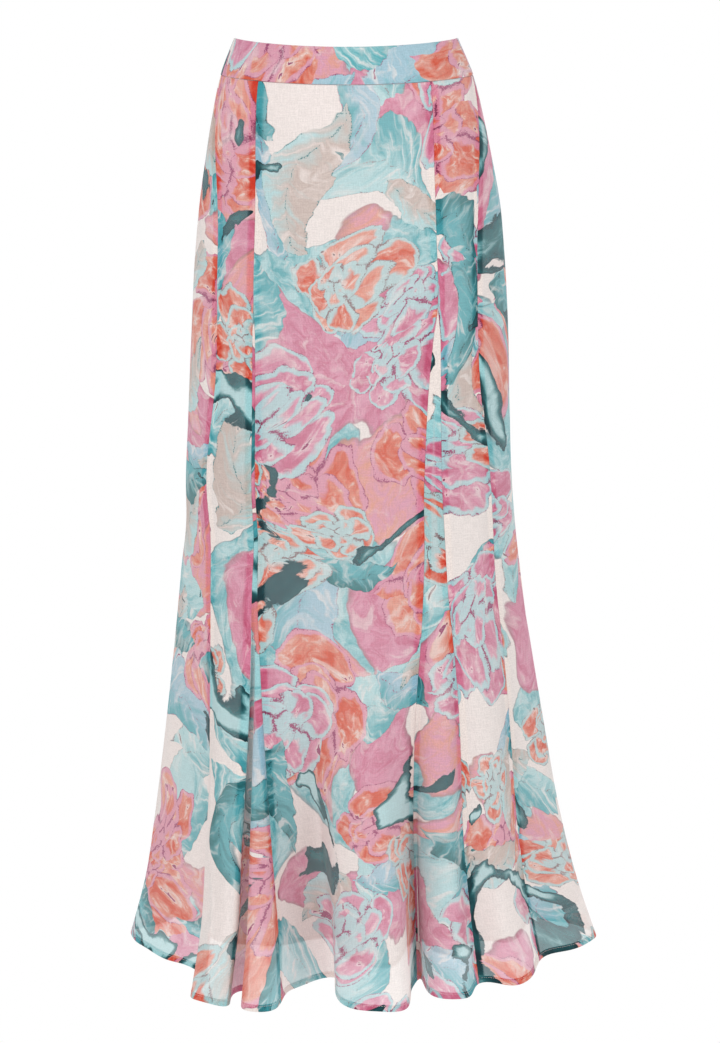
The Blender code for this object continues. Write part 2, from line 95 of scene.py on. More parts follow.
LAMPS = [  # name, place, size, power beside the key lamp's, colour
    ("key", (-1.6, -2.6, 1.3), 1.8, 1.0, (1.0, 0.98, 0.985)),
    ("side", (2.4, -1.4, 0.4), 1.6, 0.45, (0.97, 0.985, 1.0)),
    ("back", (0.3, 2.4, 0.8), 1.8, 0.6, (1.0, 1.0, 1.0)),
]

# The body under the flutes: an ellipse at each height, its back half a little deeper below the waist.
LEVELS = [  # height, half_width, front_depth, back_depth, sway
    (0.020, 0.1215, 0.088, 0.088, 0.000),
    (-0.020, 0.1380, 0.095, 0.097, 0.001),
    (-0.070, 0.1500, 0.103, 0.112, 0.002),
    (-0.112, 0.1580, 0.109, 0.123, 0.003),
    (-0.156, 0.1655, 0.114, 0.132, 0.004),
    (-0.210, 0.1710, 0.118, 0.138, 0.004),
    (-0.300, 0.1765, 0.122, 0.140, 0.004),
    (-0.400, 0.1805, 0.124, 0.139, 0.003),
    (-0.470, 0.1838, 0.126, 0.139, 0.003),
    (-0.520, 0.1860, 0.129, 0.140, 0.005),
    (-0.570, 0.1920, 0.133, 0.143, 0.005),
    (-0.660, 0.2050, 0.143, 0.151, 0.008),
    (-0.750, 0.2178, 0.156, 0.162, 0.010),
    (-0.850, 0.2330, 0.170, 0.176, 0.012),
    (-0.940, 0.2505, 0.184, 0.190, 0.016),
    (-1.010, 0.2710, 0.196, 0.202, 0.018),
]

# The hem seen from above, one row for each flute, going round from the right hip by the front:
# the foot where it starts, where its crest starts and ends, the foot where it ends, and the
# height from which it falls open.
FLUTES = [  # name, foot_x, foot_y, rise_x, rise_y, fall_x, fall_y, end_x, end_y, opens_at
    ("side_right", -0.212, 0.052, -0.249, 0.026, -0.240, -0.028, -0.170, -0.112, -0.55),
    ("front_right_outer", -0.155, -0.146, -0.170, -0.196, -0.129, -0.219, -0.123, -0.184, -0.52),
    ("front_right_inner", -0.111, -0.178, -0.109, -0.232, -0.083, -0.233, -0.060, -0.176, -0.60),
    ("front_centre", -0.014, -0.136, -0.007, -0.204, 0.056, -0.238, 0.073, -0.172, -0.54),
    ("front_left_inner", 0.082, -0.142, 0.094, -0.186, 0.132, -0.198, 0.142, -0.164, -0.56),
    ("front_left_outer", 0.154, -0.152, 0.184, -0.156, 0.210, -0.126, 0.216, -0.094, -0.50),
    ("side_left", 0.230, -0.064, 0.270, -0.036, 0.291, 0.008, 0.262, 0.044, -0.55),
    ("hip_left", 0.230, 0.060, 0.256, 0.098, 0.240, 0.146, 0.198, 0.142, -0.58),
    ("back_left_outer", 0.178, 0.142, 0.184, 0.194, 0.140, 0.222, 0.116, 0.176, -0.54),
    ("back_left_inner", 0.098, 0.172, 0.090, 0.230, 0.036, 0.242, 0.024, 0.184, -0.56),
    ("back_right_inner", 0.002, 0.176, -0.010, 0.236, -0.066, 0.238, -0.076, 0.180, -0.56),
    ("back_right_outer", -0.096, 0.168, -0.106, 0.224, -0.160, 0.208, -0.158, 0.152, -0.54),
    ("hip_right", -0.172, 0.132, -0.214, 0.142, -0.238, 0.098, -0.210, 0.074, -0.58),
]

# The lining hangs in the same flutes, but passes inside the deep tuck beside the right godet.
LINING_FLUTES = [
    FLUTES[0],
    ("front_right", -0.155, -0.146, -0.140, -0.158, -0.104, -0.166, -0.064, -0.162, -0.56),
    *FLUTES[3:],
]
LINING_GODET_END = (-0.110, -0.167)

# Where each seam runs: its turn round the body (degrees, 0 at the front, + to the wearer's left)
# at each of these heights, and the place on the hem where it ends.
TURN_HEIGHTS = (-0.020, -0.155, -0.250, -0.345, -0.450, -0.570, -0.700, -0.870, -1.010)
SEAMS = {  # name: (turns, hem_x, hem_y)
    "side_right": ((-84, -60, -56, -55, -59, -54, -50, -46, -43), -0.153, -0.156),
    "front_right": ((-43.5, -38, -37, -36, -35.3, -34, -32, -30.5, -29.5), -0.1255, -0.210),
    "godet_right": ((-43.0, -37.3, -36.0, -34.7, -33.8, -32, -29, -24, -20.5), -0.073, -0.209),
    "godet_left": ((40.2, 33.6, 32.5, 29.0, 26.8, 24.5, 19, 16, 14), 0.0775, -0.146),
    "front_left": ((40.7, 34.3, 33.9, 33.8, 33.8, 33.5, 32.5, 29, 27), 0.1465, -0.156),
    "side_left": ((81.5, 57.5, 53, 53, 58.5, 57, 55, 52, 50), 0.219, -0.084),
    "back_left": ((140, 144, 145, 146, 146, 146, 147, 149, 150), 0.106, 0.171),
    "centre_back": ((180, 180, 180, 180, 180, 180, 180, 180, 181), 0.012, 0.178),
    "back_right": ((222, 217, 216, 215, 215, 215, 214, 212, 211), -0.088, 0.171),
}
ROUND = list(SEAMS)
GODETS = [("front_right", "godet_right"), ("godet_left", "front_left")]
GODET_POINT = -0.262
GODET_OPENS_OVER = 0.030

# Each piece's first and last seam, the size of the rectangle that it is cut from and its cut area
# (metres), and where its middle lies on the printed cloth.
PANELS = [  # name, first, last, cut_width, cut_length, cut_area, print_x, print_y
    ("side_front_right", "side_right", "front_right", 0.123, 1.01, 0.083, 0.31, 0.11),
    ("godet_front_right", "front_right", "godet_right", 0.150, 0.77, 0.040, 1.27, 0.53),
    ("centre_front", "godet_right", "godet_left", 0.360, 1.01, 0.222, 0.86, 0.37),
    ("godet_front_left", "godet_left", "front_left", 0.155, 0.77, 0.050, 0.15, 1.42),
    ("side_front_left", "front_left", "side_left", 0.141, 1.01, 0.091, 1.66, 0.83),
    ("side_back_left", "side_left", "back_left", 0.560, 1.02, 0.288, 0.52, 1.93),
    ("centre_back_left", "back_left", "centre_back", 0.220, 1.01, 0.135, 2.21, 0.29),
    ("centre_back_right", "centre_back", "back_right", 0.228, 1.01, 0.140, 1.43, 2.37),
    ("side_back_right", "back_right", "side_right", 0.645, 1.02, 0.302, 2.77, 1.15),
]
LININGS = [  # name, first, last, cut_width, cut_length, cut_area
    ("lining_front", "side_right", "side_left", 0.640, 0.96, 0.39),
    ("lining_back_left", "side_left", "centre_back", 0.680, 0.96, 0.38),
    ("lining_back_right", "centre_back", "side_right", 0.760, 0.96, 0.40),
]
BANDS = [  # name, first, last, cut_width, cut_length, print_x, print_y
    ("waistband_front", "side_right", "side_left", 0.372, 0.043, 0.40, 2.83),
    ("waistband_back_left", "side_left", "centre_back", 0.200, 0.043, 1.12, 3.17),
    ("waistband_back_right", "centre_back", "side_right", 0.196, 0.043, 1.71, 2.61),
]

# Small uneven folds of the hanging cloth.
RIPPLES = [  # waves_round, depth_mm, phase, sway, sway_rate, patches
    (9, 1.10, 0.4, 0.30, 5.0, 2),
    (23, 0.60, 2.1, 0.25, 7.0, 5),
    (37, 0.42, 4.4, 0.40, 9.0, 4),
    (58, 0.26, 1.2, 0.50, 12.0, 7),
]
RIPPLES_START = -0.30
RIPPLES_GROW_OVER = 0.60
RIPPLE_POWER = 1.3

# The hem's edge rises and falls in waves that come in patches, and calms down above the hem.
FLUTTER = 1.6 * MM
FLUTTER_WAVES = 29
FLUTTER_PATCHES = 7
FLUTTER_FADE = 0.035

# Puckers beside a seam.
PUCKER = 0.22 * MM
PUCKER_LENGTH = 0.011
PUCKER_FADE = 3.5 * MM


def curve_through(knots, values, at):
    """Smooth curve through values at rising knots, read at any places."""
    knots = np.asarray(knots, float)
    values = np.asarray(values, float)
    step = np.diff(knots)
    rise = np.diff(values) / step
    inner = (rise[:-1] * step[1:] + rise[1:] * step[:-1]) / (step[:-1] + step[1:])
    slope = np.concatenate([rise[:1], inner, rise[-1:]])
    at = np.clip(at, knots[0], knots[-1])
    i = np.clip(np.searchsorted(knots, at) - 1, 0, len(knots) - 2)
    h = knots[i + 1] - knots[i]
    t = (at - knots[i]) / h
    start = (2 * t**3 - 3 * t**2 + 1) * values[i] + (t**3 - 2 * t**2 + t) * h * slope[i]
    end = (3 * t**2 - 2 * t**3) * values[i + 1] + (t**3 - t**2) * h * slope[i + 1]
    return start + end


def closed_spline(points, samples_per_span=120):
    """Closed cubic spline through plan points: dense points on it, and each knot's sample."""
    knots = np.asarray(points, float)
    count = len(knots)
    span = np.linalg.norm(np.roll(knots, -1, 0) - knots, axis=1) ** 0.75
    matrix = np.zeros((count, count))
    right = np.zeros((count, 2))
    for i in range(count):
        before, after = span[i - 1], span[i]
        following = (i + 1) % count
        matrix[i, i - 1] += after
        matrix[i, i] += 2 * (before + after)
        matrix[i, following] += before
        right[i] = 3 * (after / before * (knots[i] - knots[i - 1])
                        + before / after * (knots[following] - knots[i]))
    slopes = np.linalg.solve(matrix, right)
    t = (np.arange(samples_per_span) / samples_per_span)[:, None]
    pieces = []
    for i in range(count):
        following = (i + 1) % count
        pieces.append((2 * t**3 - 3 * t**2 + 1) * knots[i] + (t**3 - 2 * t**2 + t) * span[i] * slopes[i]
                      + (3 * t**2 - 2 * t**3) * knots[following]
                      + (t**3 - t**2) * span[i] * slopes[following])
    return np.concatenate(pieces), np.arange(count) * samples_per_span


def level(column, height):
    """One column of LEVELS at any height."""
    rows = LEVELS[::-1]
    return curve_through([row[0] for row in rows], [row[column] for row in rows], height)


def body(turn, height):
    """Plan point of the body under the flutes, at a turn in degrees."""
    angle = np.radians(turn)
    depth = np.where(np.cos(angle) > 0, level(2, height), level(3, height))
    return np.stack([level(4, height) + level(1, height) * np.sin(angle), -depth * np.cos(angle)], -1)


def dip(turn):
    """How far the waist edge and seam sink at a turn round the body."""
    return FRONT_DIP * np.abs(np.cos(np.radians(turn))) ** DIP_POWER


def seam_turns(height, godets=True):
    """Turns of all seams at each height, with the first one again a full turn on."""
    heights = TURN_HEIGHTS[::-1]
    turns = {name: curve_through(heights, SEAMS[name][0][::-1], height) for name in ROUND}
    if godets:
        opened = np.clip((GODET_POINT - height) / GODET_OPENS_OVER, 0.0, 1.0)
        for first, last in GODETS:
            middle = (turns[first] + turns[last]) / 2
            half = (turns[last] - turns[first]) / 2 * opened
            turns[first], turns[last] = middle - half, middle + half
    turns = list(turns.values())
    return np.stack(turns + [turns[0] + 360.0])


class Cloth:
    """A fluted tube of cloth. A place on it is a distance along its hem and a nominal height."""

    def __init__(self, flutes, godets=True, **moved_ends):
        self.godets = godets
        plan = [(row[k], row[k + 1]) for row in flutes for k in (1, 3, 5, 7)]
        points, knots = closed_spline(plan)
        steps = np.linalg.norm(np.roll(points, -1, 0) - points, axis=1)
        self.arcs = np.concatenate([[0.0], np.cumsum(steps)])
        self.length = self.arcs[-1]
        self.hem_points = np.vstack([points, points[:1]])
        knots = self.arcs[knots]
        crests = (knots[1::4] + knots[2::4]) / 2
        self.crests = np.concatenate([crests - self.length, crests, crests + self.length])
        self.openings = np.tile([row[9] for row in flutes], 3)
        ends = [moved_ends.get(name, SEAMS[name][1:]) for name in ROUND]
        places = [self.arcs[np.argmin(np.hypot(*(points - end).T))] for end in ends]
        self.places = np.array([place + self.length * (place < places[0]) for place in places]
                               + [places[0] + self.length])

    def hem(self, arc):
        """Plan point of the hem line."""
        arc = np.mod(arc, self.length)
        return np.stack([np.interp(arc, self.arcs, self.hem_points[:, k]) for k in (0, 1)], -1)

    def turn(self, arc, height):
        """Turn round the body at a place: even between two seams."""
        arc = self.places[0] + np.mod(arc - self.places[0], self.length)
        turns = seam_turns(height, self.godets)
        i = np.clip(np.searchsorted(self.places, arc, side="right") - 1, 0, len(ROUND) - 1)
        first = np.take_along_axis(turns, i[None], 0)[0]
        last = np.take_along_axis(turns, i[None] + 1, 0)[0]
        return first + (last - first) * (arc - self.places[i]) / (self.places[i + 1] - self.places[i])

    def middle(self, arc, height):
        """Middle of the cloth: the body, drawn out to the fluted hem below the knee."""
        arc, height = np.broadcast_arrays(np.asarray(arc, float), np.asarray(height, float))
        turn = self.turn(arc, height)
        opens = np.interp(np.mod(arc, self.length), self.crests, self.openings)
        share = np.clip((opens - height) / (opens - HEM), 0.0, None) ** FLUTE_POWER
        floor = np.full_like(height, HEM)
        plan = body(turn, height) + share[..., None] * (self.hem(arc) - body(self.turn(arc, floor), floor))
        # The dip of the waist seam fades out on the way down.
        fade = np.clip((height - HEM) / (WAIST_SEAM - HEM), 0.0, None) ** 4
        return np.concatenate([plan, (height - dip(turn) * fade)[..., None]], -1)

    def normal(self, arc, height, step=0.0008):
        """Outward normal at places on the cloth."""
        along = self.middle(arc + step, height) - self.middle(arc - step, height)
        up = self.middle(arc, height + step) - self.middle(arc, height - step)
        normal = np.cross(along, up)
        return normal / np.linalg.norm(normal, axis=-1, keepdims=True)

    def ripple(self, arc, height):
        """Small folds, outwards in metres: none at the hip, more towards the hem."""
        share = np.mod(arc, self.length) / self.length
        fall = np.clip((RIPPLES_START - height) / RIPPLES_GROW_OVER, 0.0, 1.0) ** RIPPLE_POWER
        folds = 0.0
        for waves, depth, phase, sway, rate, patches in RIPPLES:
            drift = 2 * np.pi * sway * np.sin(rate * height + phase)
            wave = np.cos(2 * np.pi * waves * share + phase + drift)
            patch = 0.55 + 0.45 * np.cos(2 * np.pi * patches * share + 3 * phase + 4.0 * height)
            folds = folds + depth * MM * wave * patch
        return folds * fall * bpy.context.scene.skirt_cloth.fine_folds

    def place(self, arc, height, out):
        """A point of the cloth, out from its middle."""
        arc, height = np.broadcast_arrays(np.asarray(arc, float), np.asarray(height, float))
        lift = (out + self.ripple(arc, height))[..., None]
        points = self.middle(arc, height) + self.normal(arc, height) * lift
        flutter = FLUTTER * np.cos(2 * np.pi * FLUTTER_WAVES * arc / self.length + 1.0)
        flutter = flutter * np.cos(2 * np.pi * FLUTTER_PATCHES * arc / self.length)
        points[..., 2] += flutter * np.exp(-(height - HEM) / FLUTTER_FADE)
        return points

    def ends(self, first, last):
        """Places of a piece's two seams."""
        start, end = (self.places[ROUND.index(name)] for name in (first, last))
        return start, end + self.length * (end <= start)


PRINTED = Cloth(FLUTES)
LINED = Cloth(LINING_FLUTES, godets=False, godet_right=LINING_GODET_END)

# An edge turned under: distance in from the fold and depth behind the face, as the cloth goes.
ROLL = MM * np.array([
    (1.2, 0.0), (0.5, 0.05), (0.14, 0.24), (0.04, 0.6), (0.14, 0.96), (0.5, 1.15), (1.4, 1.22),
])


# The waistband's lower edge, rolled under: height above the seam and depth in from either face.
BAND_FOOT = MM * np.array([(0.25, 0.9), (0.05, 0.5), (0.2, 0.15)])


def turned_edge(width):
    """The roll of a turned edge, with its allowance laid flat behind the face."""
    flat = np.linspace(ROLL[-1, 0], width, 4)[1:]
    return np.vstack([ROLL, np.stack([flat, np.full(3, ROLL[-1, 1])], -1)])


def back_opening(height, zip_half):
    """Half gap at the centre back seam: the zip's opening, closing to a sewn seam below it."""
    return zip_half * np.clip((height - ZIP_END) / (4 * MM), 0.0, 1.0)


def lay_cloth(cloth, first, last, top, hem, out, zip_half, spacing, allowance, hem_depth):
    """A piece with its seam edges and hem turned under: points, flat-cut places, where it lies double."""
    start, end = cloth.ends(first, last)
    edge = turned_edge(allowance)
    turn_up = turned_edge(hem_depth)
    rise = ROLL[:4][::-1] if top == WAIST_SEAM else np.array([[0.3 * MM, 0.0]])
    count = max(2, round((top - hem) / (spacing * ROW_SPACING)))
    inner = np.linspace(top - rise[-1, 0], hem + turn_up[0, 0], count)[1:-1]
    # Two rows lie close together where the turned-up hem ends, so that the double cloth ends crisply.
    fold = hem + hem_depth + np.array([0.25, -0.25]) * MM
    inner = np.sort(np.concatenate([inner[np.abs(inner - fold.mean()) > 1.2 * MM], fold]))[::-1]
    height = np.concatenate([top - rise[:, 0], inner, hem + turn_up[:, 0]])[:, None]
    row_depth = np.concatenate([rise[:, 1], np.zeros(len(inner)), turn_up[:, 1]])[:, None]

    small = (end - start) * 0.01
    shifts, scales = [], []
    for seam, place, side in ((first, start, 1), (last, end, -1)):
        reach = cloth.middle(place + side * small, height) - cloth.middle(place, height)
        scale = np.maximum(np.linalg.norm(reach, axis=-1) / small, 1e-6)
        half = back_opening(height, zip_half) if seam == "centre_back" else 0.0
        shifts.append(place + side * np.minimum((half + edge[:, 0][None]) / scale, 0.48 * (end - start)))
        scales.append(scale)
    left, right = shifts
    middle = np.linspace(0.0, 1.0, max(3, round((end - start) / spacing)))[1:-1][None]
    between = left[:, :1] + middle * (right[:, :1] - left[:, :1])
    arc = np.hstack([left[:, ::-1], between, right])
    depth = np.hstack([edge[::-1, 1], np.zeros(middle.shape[1]), edge[:, 1]])[None] + row_depth

    pucker = 0.0
    doubled = (height < fold.mean()).astype(float)
    for seam, place, scale in ((first, left, scales[0]), (last, right, scales[1])):
        aside = np.abs(arc - place[:, 3:4]) * scale
        phase = 2 * np.pi * height / PUCKER_LENGTH + 2.5 * np.sin(height * 41.0 + ROUND.index(seam))
        pucker = pucker + PUCKER * np.cos(phase) * np.exp(-aside / PUCKER_FADE)
        doubled = np.maximum(doubled, np.clip((allowance - aside) / (2 * MM) + 0.5, 0.0, 1.0))
    points = cloth.place(arc, height, out(height) - depth + pucker)

    across = np.cumsum(np.linalg.norm(np.diff(points, axis=1), axis=2), axis=1)
    across = np.hstack([np.zeros((len(across), 1)), across])
    half_way = points.shape[1] // 2
    across -= across[:, half_way:half_way + 1]
    down = np.concatenate([[0.0], np.cumsum(np.linalg.norm(np.diff(points[:, half_way], axis=0), axis=1))])
    flat = np.stack([across, np.broadcast_to(-down[:, None], across.shape)], -1)
    return points, flat, doubled


def grid_object(name, points, flat, doubled=None, loop=False):
    """A mesh object from a grid of points, with its flat-cut places as its UV map in metres."""
    rows, cols = points.shape[:2]
    index = np.arange(rows * cols).reshape(rows, cols)
    if loop:
        index = np.vstack([index, index[:1]])
        flat = np.concatenate([flat, flat[:1]])
    corners = [index[:-1, :-1], index[1:, :-1], index[1:, 1:], index[:-1, 1:]]
    places = [flat[:-1, :-1], flat[1:, :-1], flat[1:, 1:], flat[:-1, 1:]]
    mesh = bpy.data.meshes.new(name)
    mesh.from_pydata(points.reshape(-1, 3), [], np.stack(corners, -1).reshape(-1, 4).tolist())
    layer = mesh.uv_layers.new(name="flat cut")
    layer.data.foreach_set("uv", np.stack(places, 2).reshape(-1).astype(np.float32))
    if doubled is not None:
        mesh.attributes.new("doubled", "FLOAT", "POINT").data.foreach_set("value", doubled.reshape(-1))
    mesh.shade_smooth()
    return show(bpy.data.objects.new(name, mesh))


def show(obj):
    """Puts an object into the scene."""
    bpy.context.scene.collection.objects.link(obj)
    return obj


def add_wall(obj, thickness, inner_finish=0):
    """Gives a sheet its thickness, inwards from its face, and the number of its inner side's finish."""
    wall = obj.modifiers.new("Cloth thickness", "SOLIDIFY")
    wall.thickness = thickness
    wall.offset = -1.0
    wall.material_offset = inner_finish


def dress(obj, finishes, body_name, *nodes, slot=None):
    """Gives a finished piece its materials, and ties it to the frame."""
    obj.data.materials.clear()
    for finish in finishes.split(" / "):
        obj.data.materials.append(material(finish))
    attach(obj, body_name)
    if nodes:
        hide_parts(*nodes)
    return obj


def srgb(code):
    """Linear colour from an sRGB hex value."""
    parts = [int(code[k:k + 2], 16) / 255 for k in (0, 2, 4)]
    return tuple(c / 12.92 if c <= 0.04045 else ((c + 0.055) / 1.055) ** 2.4 for c in parts)


def add(tree, kind, *values, out=0, **settings):
    """Adds a node with its settings, fills or links its inputs, and gives one of its outputs.

    Values fill the inputs in order. A dict fills the inputs that it names by number or name. A kind
    without the word Node is a shader node.
    """
    node = tree.nodes.new(kind if "Node" in kind else "ShaderNode" + kind)
    for name, value in settings.items():
        setattr(node, name, value)
    filled = {}
    for position, value in enumerate(values):
        filled.update(value if isinstance(value, dict) else {position: value})
    for key, value in filled.items():
        if isinstance(value, bpy.types.NodeSocket):
            tree.links.new(value, node.inputs[key])
        elif value is not None:
            socket = node.inputs[key]
            wide = hasattr(value, "__len__") and socket.type == "RGBA" and len(value) == 3
            socket.default_value = (*value, 1.0) if wide else value
    return node.outputs[out] if len(node.outputs) else node


def new_material(name):
    """A material with no nodes, and its tree."""
    made = bpy.data.materials.new(name)
    made.use_nodes = True
    made.node_tree.nodes.clear()
    return made, made.node_tree


TIMES = {"operation": "MULTIPLY"}
PLUS = {"operation": "ADD"}
MINUS = {"operation": "SUBTRACT"}
TIMES_PLUS = {"operation": "MULTIPLY_ADD"}
SOFT = {"interpolation_type": "SMOOTHSTEP"}
# A Mix node's input 0 is its share, 6 the colour beneath and 7 the colour that goes over it.
OVER = {"out": 2, "data_type": "RGBA"}
SHADED = {**OVER, "blend_type": "MULTIPLY"}

MATERIALS = {}


def material(name):
    """A finish by its name, made once."""
    if name not in MATERIALS:
        MATERIALS[name] = cloth_material(name, *CLOTHS[name]) if name in CLOTHS else FINISHES[name](name)
    return MATERIALS[name]


def new_group(name, inputs, outputs, tree_kind="ShaderNodeTree"):
    """A node group: its tree, its given inputs, and its output node."""
    tree = bpy.data.node_groups.new(name, tree_kind)
    for side, sockets in (("INPUT", inputs), ("OUTPUT", outputs)):
        for title, kind in sockets.items():
            tree.interface.new_socket(title, in_out=side, socket_type="NodeSocket" + kind)
    return tree, tree.nodes.new("NodeGroupInput").outputs, tree.nodes.new("NodeGroupOutput")


def dry_line(tree, edge, width, speckle):
    """How much of a line shows at a distance from its edge: it breaks into specks as the brush dries."""
    share = add(tree, "MapRange", edge, 0.0, width, 1.0, 0.0)
    line = add(tree, "Math", speckle, 2.4, -1.8, **TIMES_PLUS)
    line = add(tree, "Math", share, 2.0, line, **TIMES_PLUS, use_clamp=True)
    return add(tree, "Math", line, add(tree, "Math", share, 4.0, **TIMES), operation="MINIMUM")


def petal_ring_group():
    """A ring of round petals, painted wet over what lies under it."""
    tree, given, result = new_group("Petal ring", {
        "Under": "Color", "Place": "Vector", "Radius": "Float", "Petals": "Float", "Phase": "Float",
        "Marks": "Float", "Speckle": "Float", "Pale": "Color", "Light": "Color", "Deep": "Color",
        "Rim": "Color", "Line": "Color"}, {"Colour": "Color"})
    x = add(tree, "SeparateXYZ", given["Place"])
    angle = add(tree, "Math", x.node.outputs[1], x, operation="ARCTAN2")
    turn = add(tree, "Math", angle, 1 / (2 * math.pi), given["Phase"], **TIMES_PLUS)
    turn = add(tree, "Math", turn, given["Petals"], **TIMES)
    number = add(tree, "Math", turn, operation="FLOOR")
    across = add(tree, "Math", add(tree, "Math", turn, operation="FRACT"), 0.5, **MINUS)
    radius = add(tree, "VectorMath", given["Place"], out=1, operation="LENGTH")
    chance = add(tree, "TexWhiteNoise", add(tree, "CombineXYZ", number, given["Phase"]),
                 noise_dimensions="2D")
    lobe = add(tree, "Math", add(tree, "Math", across, across, **TIMES), -1.2, 1.0, **TIMES_PLUS)
    size = add(tree, "Math", chance, 0.34, 0.78, **TIMES_PLUS)
    reach = add(tree, "Math", add(tree, "Math", lobe, size, **TIMES), given["Radius"], **TIMES)
    inside = add(tree, "Math", reach, radius, **MINUS)
    side = add(tree, "Math", 0.5, add(tree, "Math", across, operation="ABSOLUTE"), **MINUS)
    edge = add(tree, "Math", inside, add(tree, "Math", side, radius, **TIMES), operation="MINIMUM")
    # Each petal has its own tone, and is deeper towards the heart and along the brush's marks.
    depth = add(tree, "Math", inside, given["Radius"], operation="DIVIDE")
    tone = add(tree, "Math", given["Marks"], 5.2, -2.75, **TIMES_PLUS)
    tone = add(tree, "Math", depth, 0.9, tone, **TIMES_PLUS)
    tone = add(tree, "Math", chance, 0.5, tone, **TIMES_PLUS, use_clamp=True)
    paint = add(tree, "Mix", {0: tone, 6: given["Light"], 7: given["Deep"]}, **OVER)
    streak = add(tree, "MapRange", given["Marks"], 0.47, 0.36, 0.0, 0.6, **SOFT)
    paint = add(tree, "Mix", {0: streak, 6: paint, 7: given["Pale"]}, **OVER)
    # A paler ribbon of paint round the petal, then its line, broken where the brush ran dry.
    ribbon = add(tree, "Math", given["Marks"], 16 * MM, -3 * MM, **TIMES_PLUS)
    ribbon = add(tree, "MapRange", edge, ribbon, add(tree, "Math", ribbon, 2.5 * MM, **PLUS), 0.9, 0.0)
    paint = add(tree, "Mix", {0: ribbon, 6: paint, 7: given["Rim"]}, **OVER)
    width = add(tree, "Math", given["Marks"], 17.0 * MM, -6.0 * MM, **TIMES_PLUS)
    width = add(tree, "Math", width, add(tree, "Math", given["Radius"], 0.07, **TIMES), operation="MINIMUM")
    line = dry_line(tree, edge, width, given["Speckle"])
    paint = add(tree, "Mix", {0: line, 6: paint, 7: given["Line"]}, **OVER)
    cover = add(tree, "MapRange", inside, 0.0, 1.2 * MM, **SOFT)
    colour = add(tree, "Mix", {0: cover, 6: given["Under"], 7: paint}, **OVER)
    tree.links.new(colour, result.inputs[0])
    return tree


def leaf_group():
    """A pointed leaf with a midrib, one half in shade, painted over what lies under it."""
    tree, given, result = new_group("Leaf", {
        "Under": "Color", "Place": "Vector", "Angle": "Float", "Length": "Float", "Width": "Float",
        "Speckle": "Float", "Pale": "Color", "Light": "Color", "Deep": "Color", "Line": "Color"},
        {"Colour": "Color"})
    turned = add(tree, "VectorRotate", {"Vector": given["Place"], "Angle": given["Angle"]},
                 rotation_type="Z_AXIS")
    x = add(tree, "SeparateXYZ", turned)
    along = add(tree, "Math", x, given["Length"], operation="DIVIDE")
    taper = add(tree, "Math", add(tree, "Math", along, along, **TIMES), given["Width"], **TIMES)
    y = add(tree, "Math", taper, 0.8, x.node.outputs[1], **TIMES_PLUS)
    off = add(tree, "Math", y, operation="ABSOLUTE")
    inside = add(tree, "Math", add(tree, "Math", given["Width"], taper, **MINUS), off, **MINUS)
    # Veins slant out from the midrib.
    vein = add(tree, "Math", off, 0.8, x, **TIMES_PLUS)
    marks = add(tree, "TexNoise", {"Vector": add(
        tree, "CombineXYZ", add(tree, "Math", vein, 75.0, **TIMES), add(tree, "Math", y, 20.0, **TIMES)),
        "Scale": 1.0, "Detail": 2.0, "Roughness": 0.6}, noise_dimensions="2D")
    shade = add(tree, "Math", y, given["Width"], operation="DIVIDE")
    tone = add(tree, "Math", marks, 2.4, -0.95, **TIMES_PLUS)
    tone = add(tree, "Math", shade, 0.9, tone, **TIMES_PLUS, use_clamp=True)
    paint = add(tree, "Mix", {0: tone, 6: given["Light"], 7: given["Deep"]}, **OVER)
    streak = add(tree, "MapRange", marks, 0.46, 0.30, 0.0, 0.6, **SOFT)
    paint = add(tree, "Mix", {0: streak, 6: paint, 7: given["Pale"]}, **OVER)
    width = add(tree, "Math", marks, 8.0 * MM, -2.0 * MM, **TIMES_PLUS)
    rib = add(tree, "Math", off, 1.0 * MM, **PLUS)
    edge = add(tree, "Math", inside, rib, operation="MINIMUM")
    line = dry_line(tree, edge, width, given["Speckle"])
    paint = add(tree, "Mix", {0: line, 6: paint, 7: given["Line"]}, **OVER)
    cover = add(tree, "MapRange", inside, 0.0, 1.2 * MM, **SOFT)
    colour = add(tree, "Mix", {0: cover, 6: given["Under"], 7: paint}, **OVER)
    tree.links.new(colour, result.inputs[0])
    return tree


DYES = [  # name, title, sRGB
    ("ground", "Ground", "F4EEEA"),
    ("coral", "Deep coral", "DE6850"), ("coral_light", "Light coral", "EAAE9E"),
    ("pink", "Deep pink", "D4849F"), ("pink_light", "Light pink", "E4ACC0"), ("aqua", "Deep aqua", "6FBBC2"),
    ("aqua_light", "Light aqua", "C0E2E4"), ("sky", "Light blue", "B4D2DE"), ("teal", "Teal", "3F8A8E"),
    ("teal_dark", "Dark teal", "1E6068"), ("mauve", "Mauve", "A8587F"), ("taupe", "Taupe", "D2C4BC"),
    ("taupe_dark", "Dark taupe", "9C8A8C"),
]

PRINT_AVERAGE = "DDB9BC"

# Rings of a rose from the outside in: share of its radius, petals, phase, where its middle sits.
ROSE_RINGS = [(1.00, 5.0, 0.13, 0.00, 0.00), (0.71, 4.0, 0.61, 0.07, -0.04), (0.46, 3.0, 0.29, -0.03, 0.09),
              (0.24, 3.0, 0.77, -0.06, 0.12)]

# Washes: seed, pools to a metre, level above which a pool lies, thin and full colour.
WASHES = [(3.0, 4.2, 0.57, "aqua_light", "aqua"), (11.0, 3.6, 0.57, "pink_light", "pink"),
          (23.0, 4.6, 0.62, "pink_light", "coral_light")]

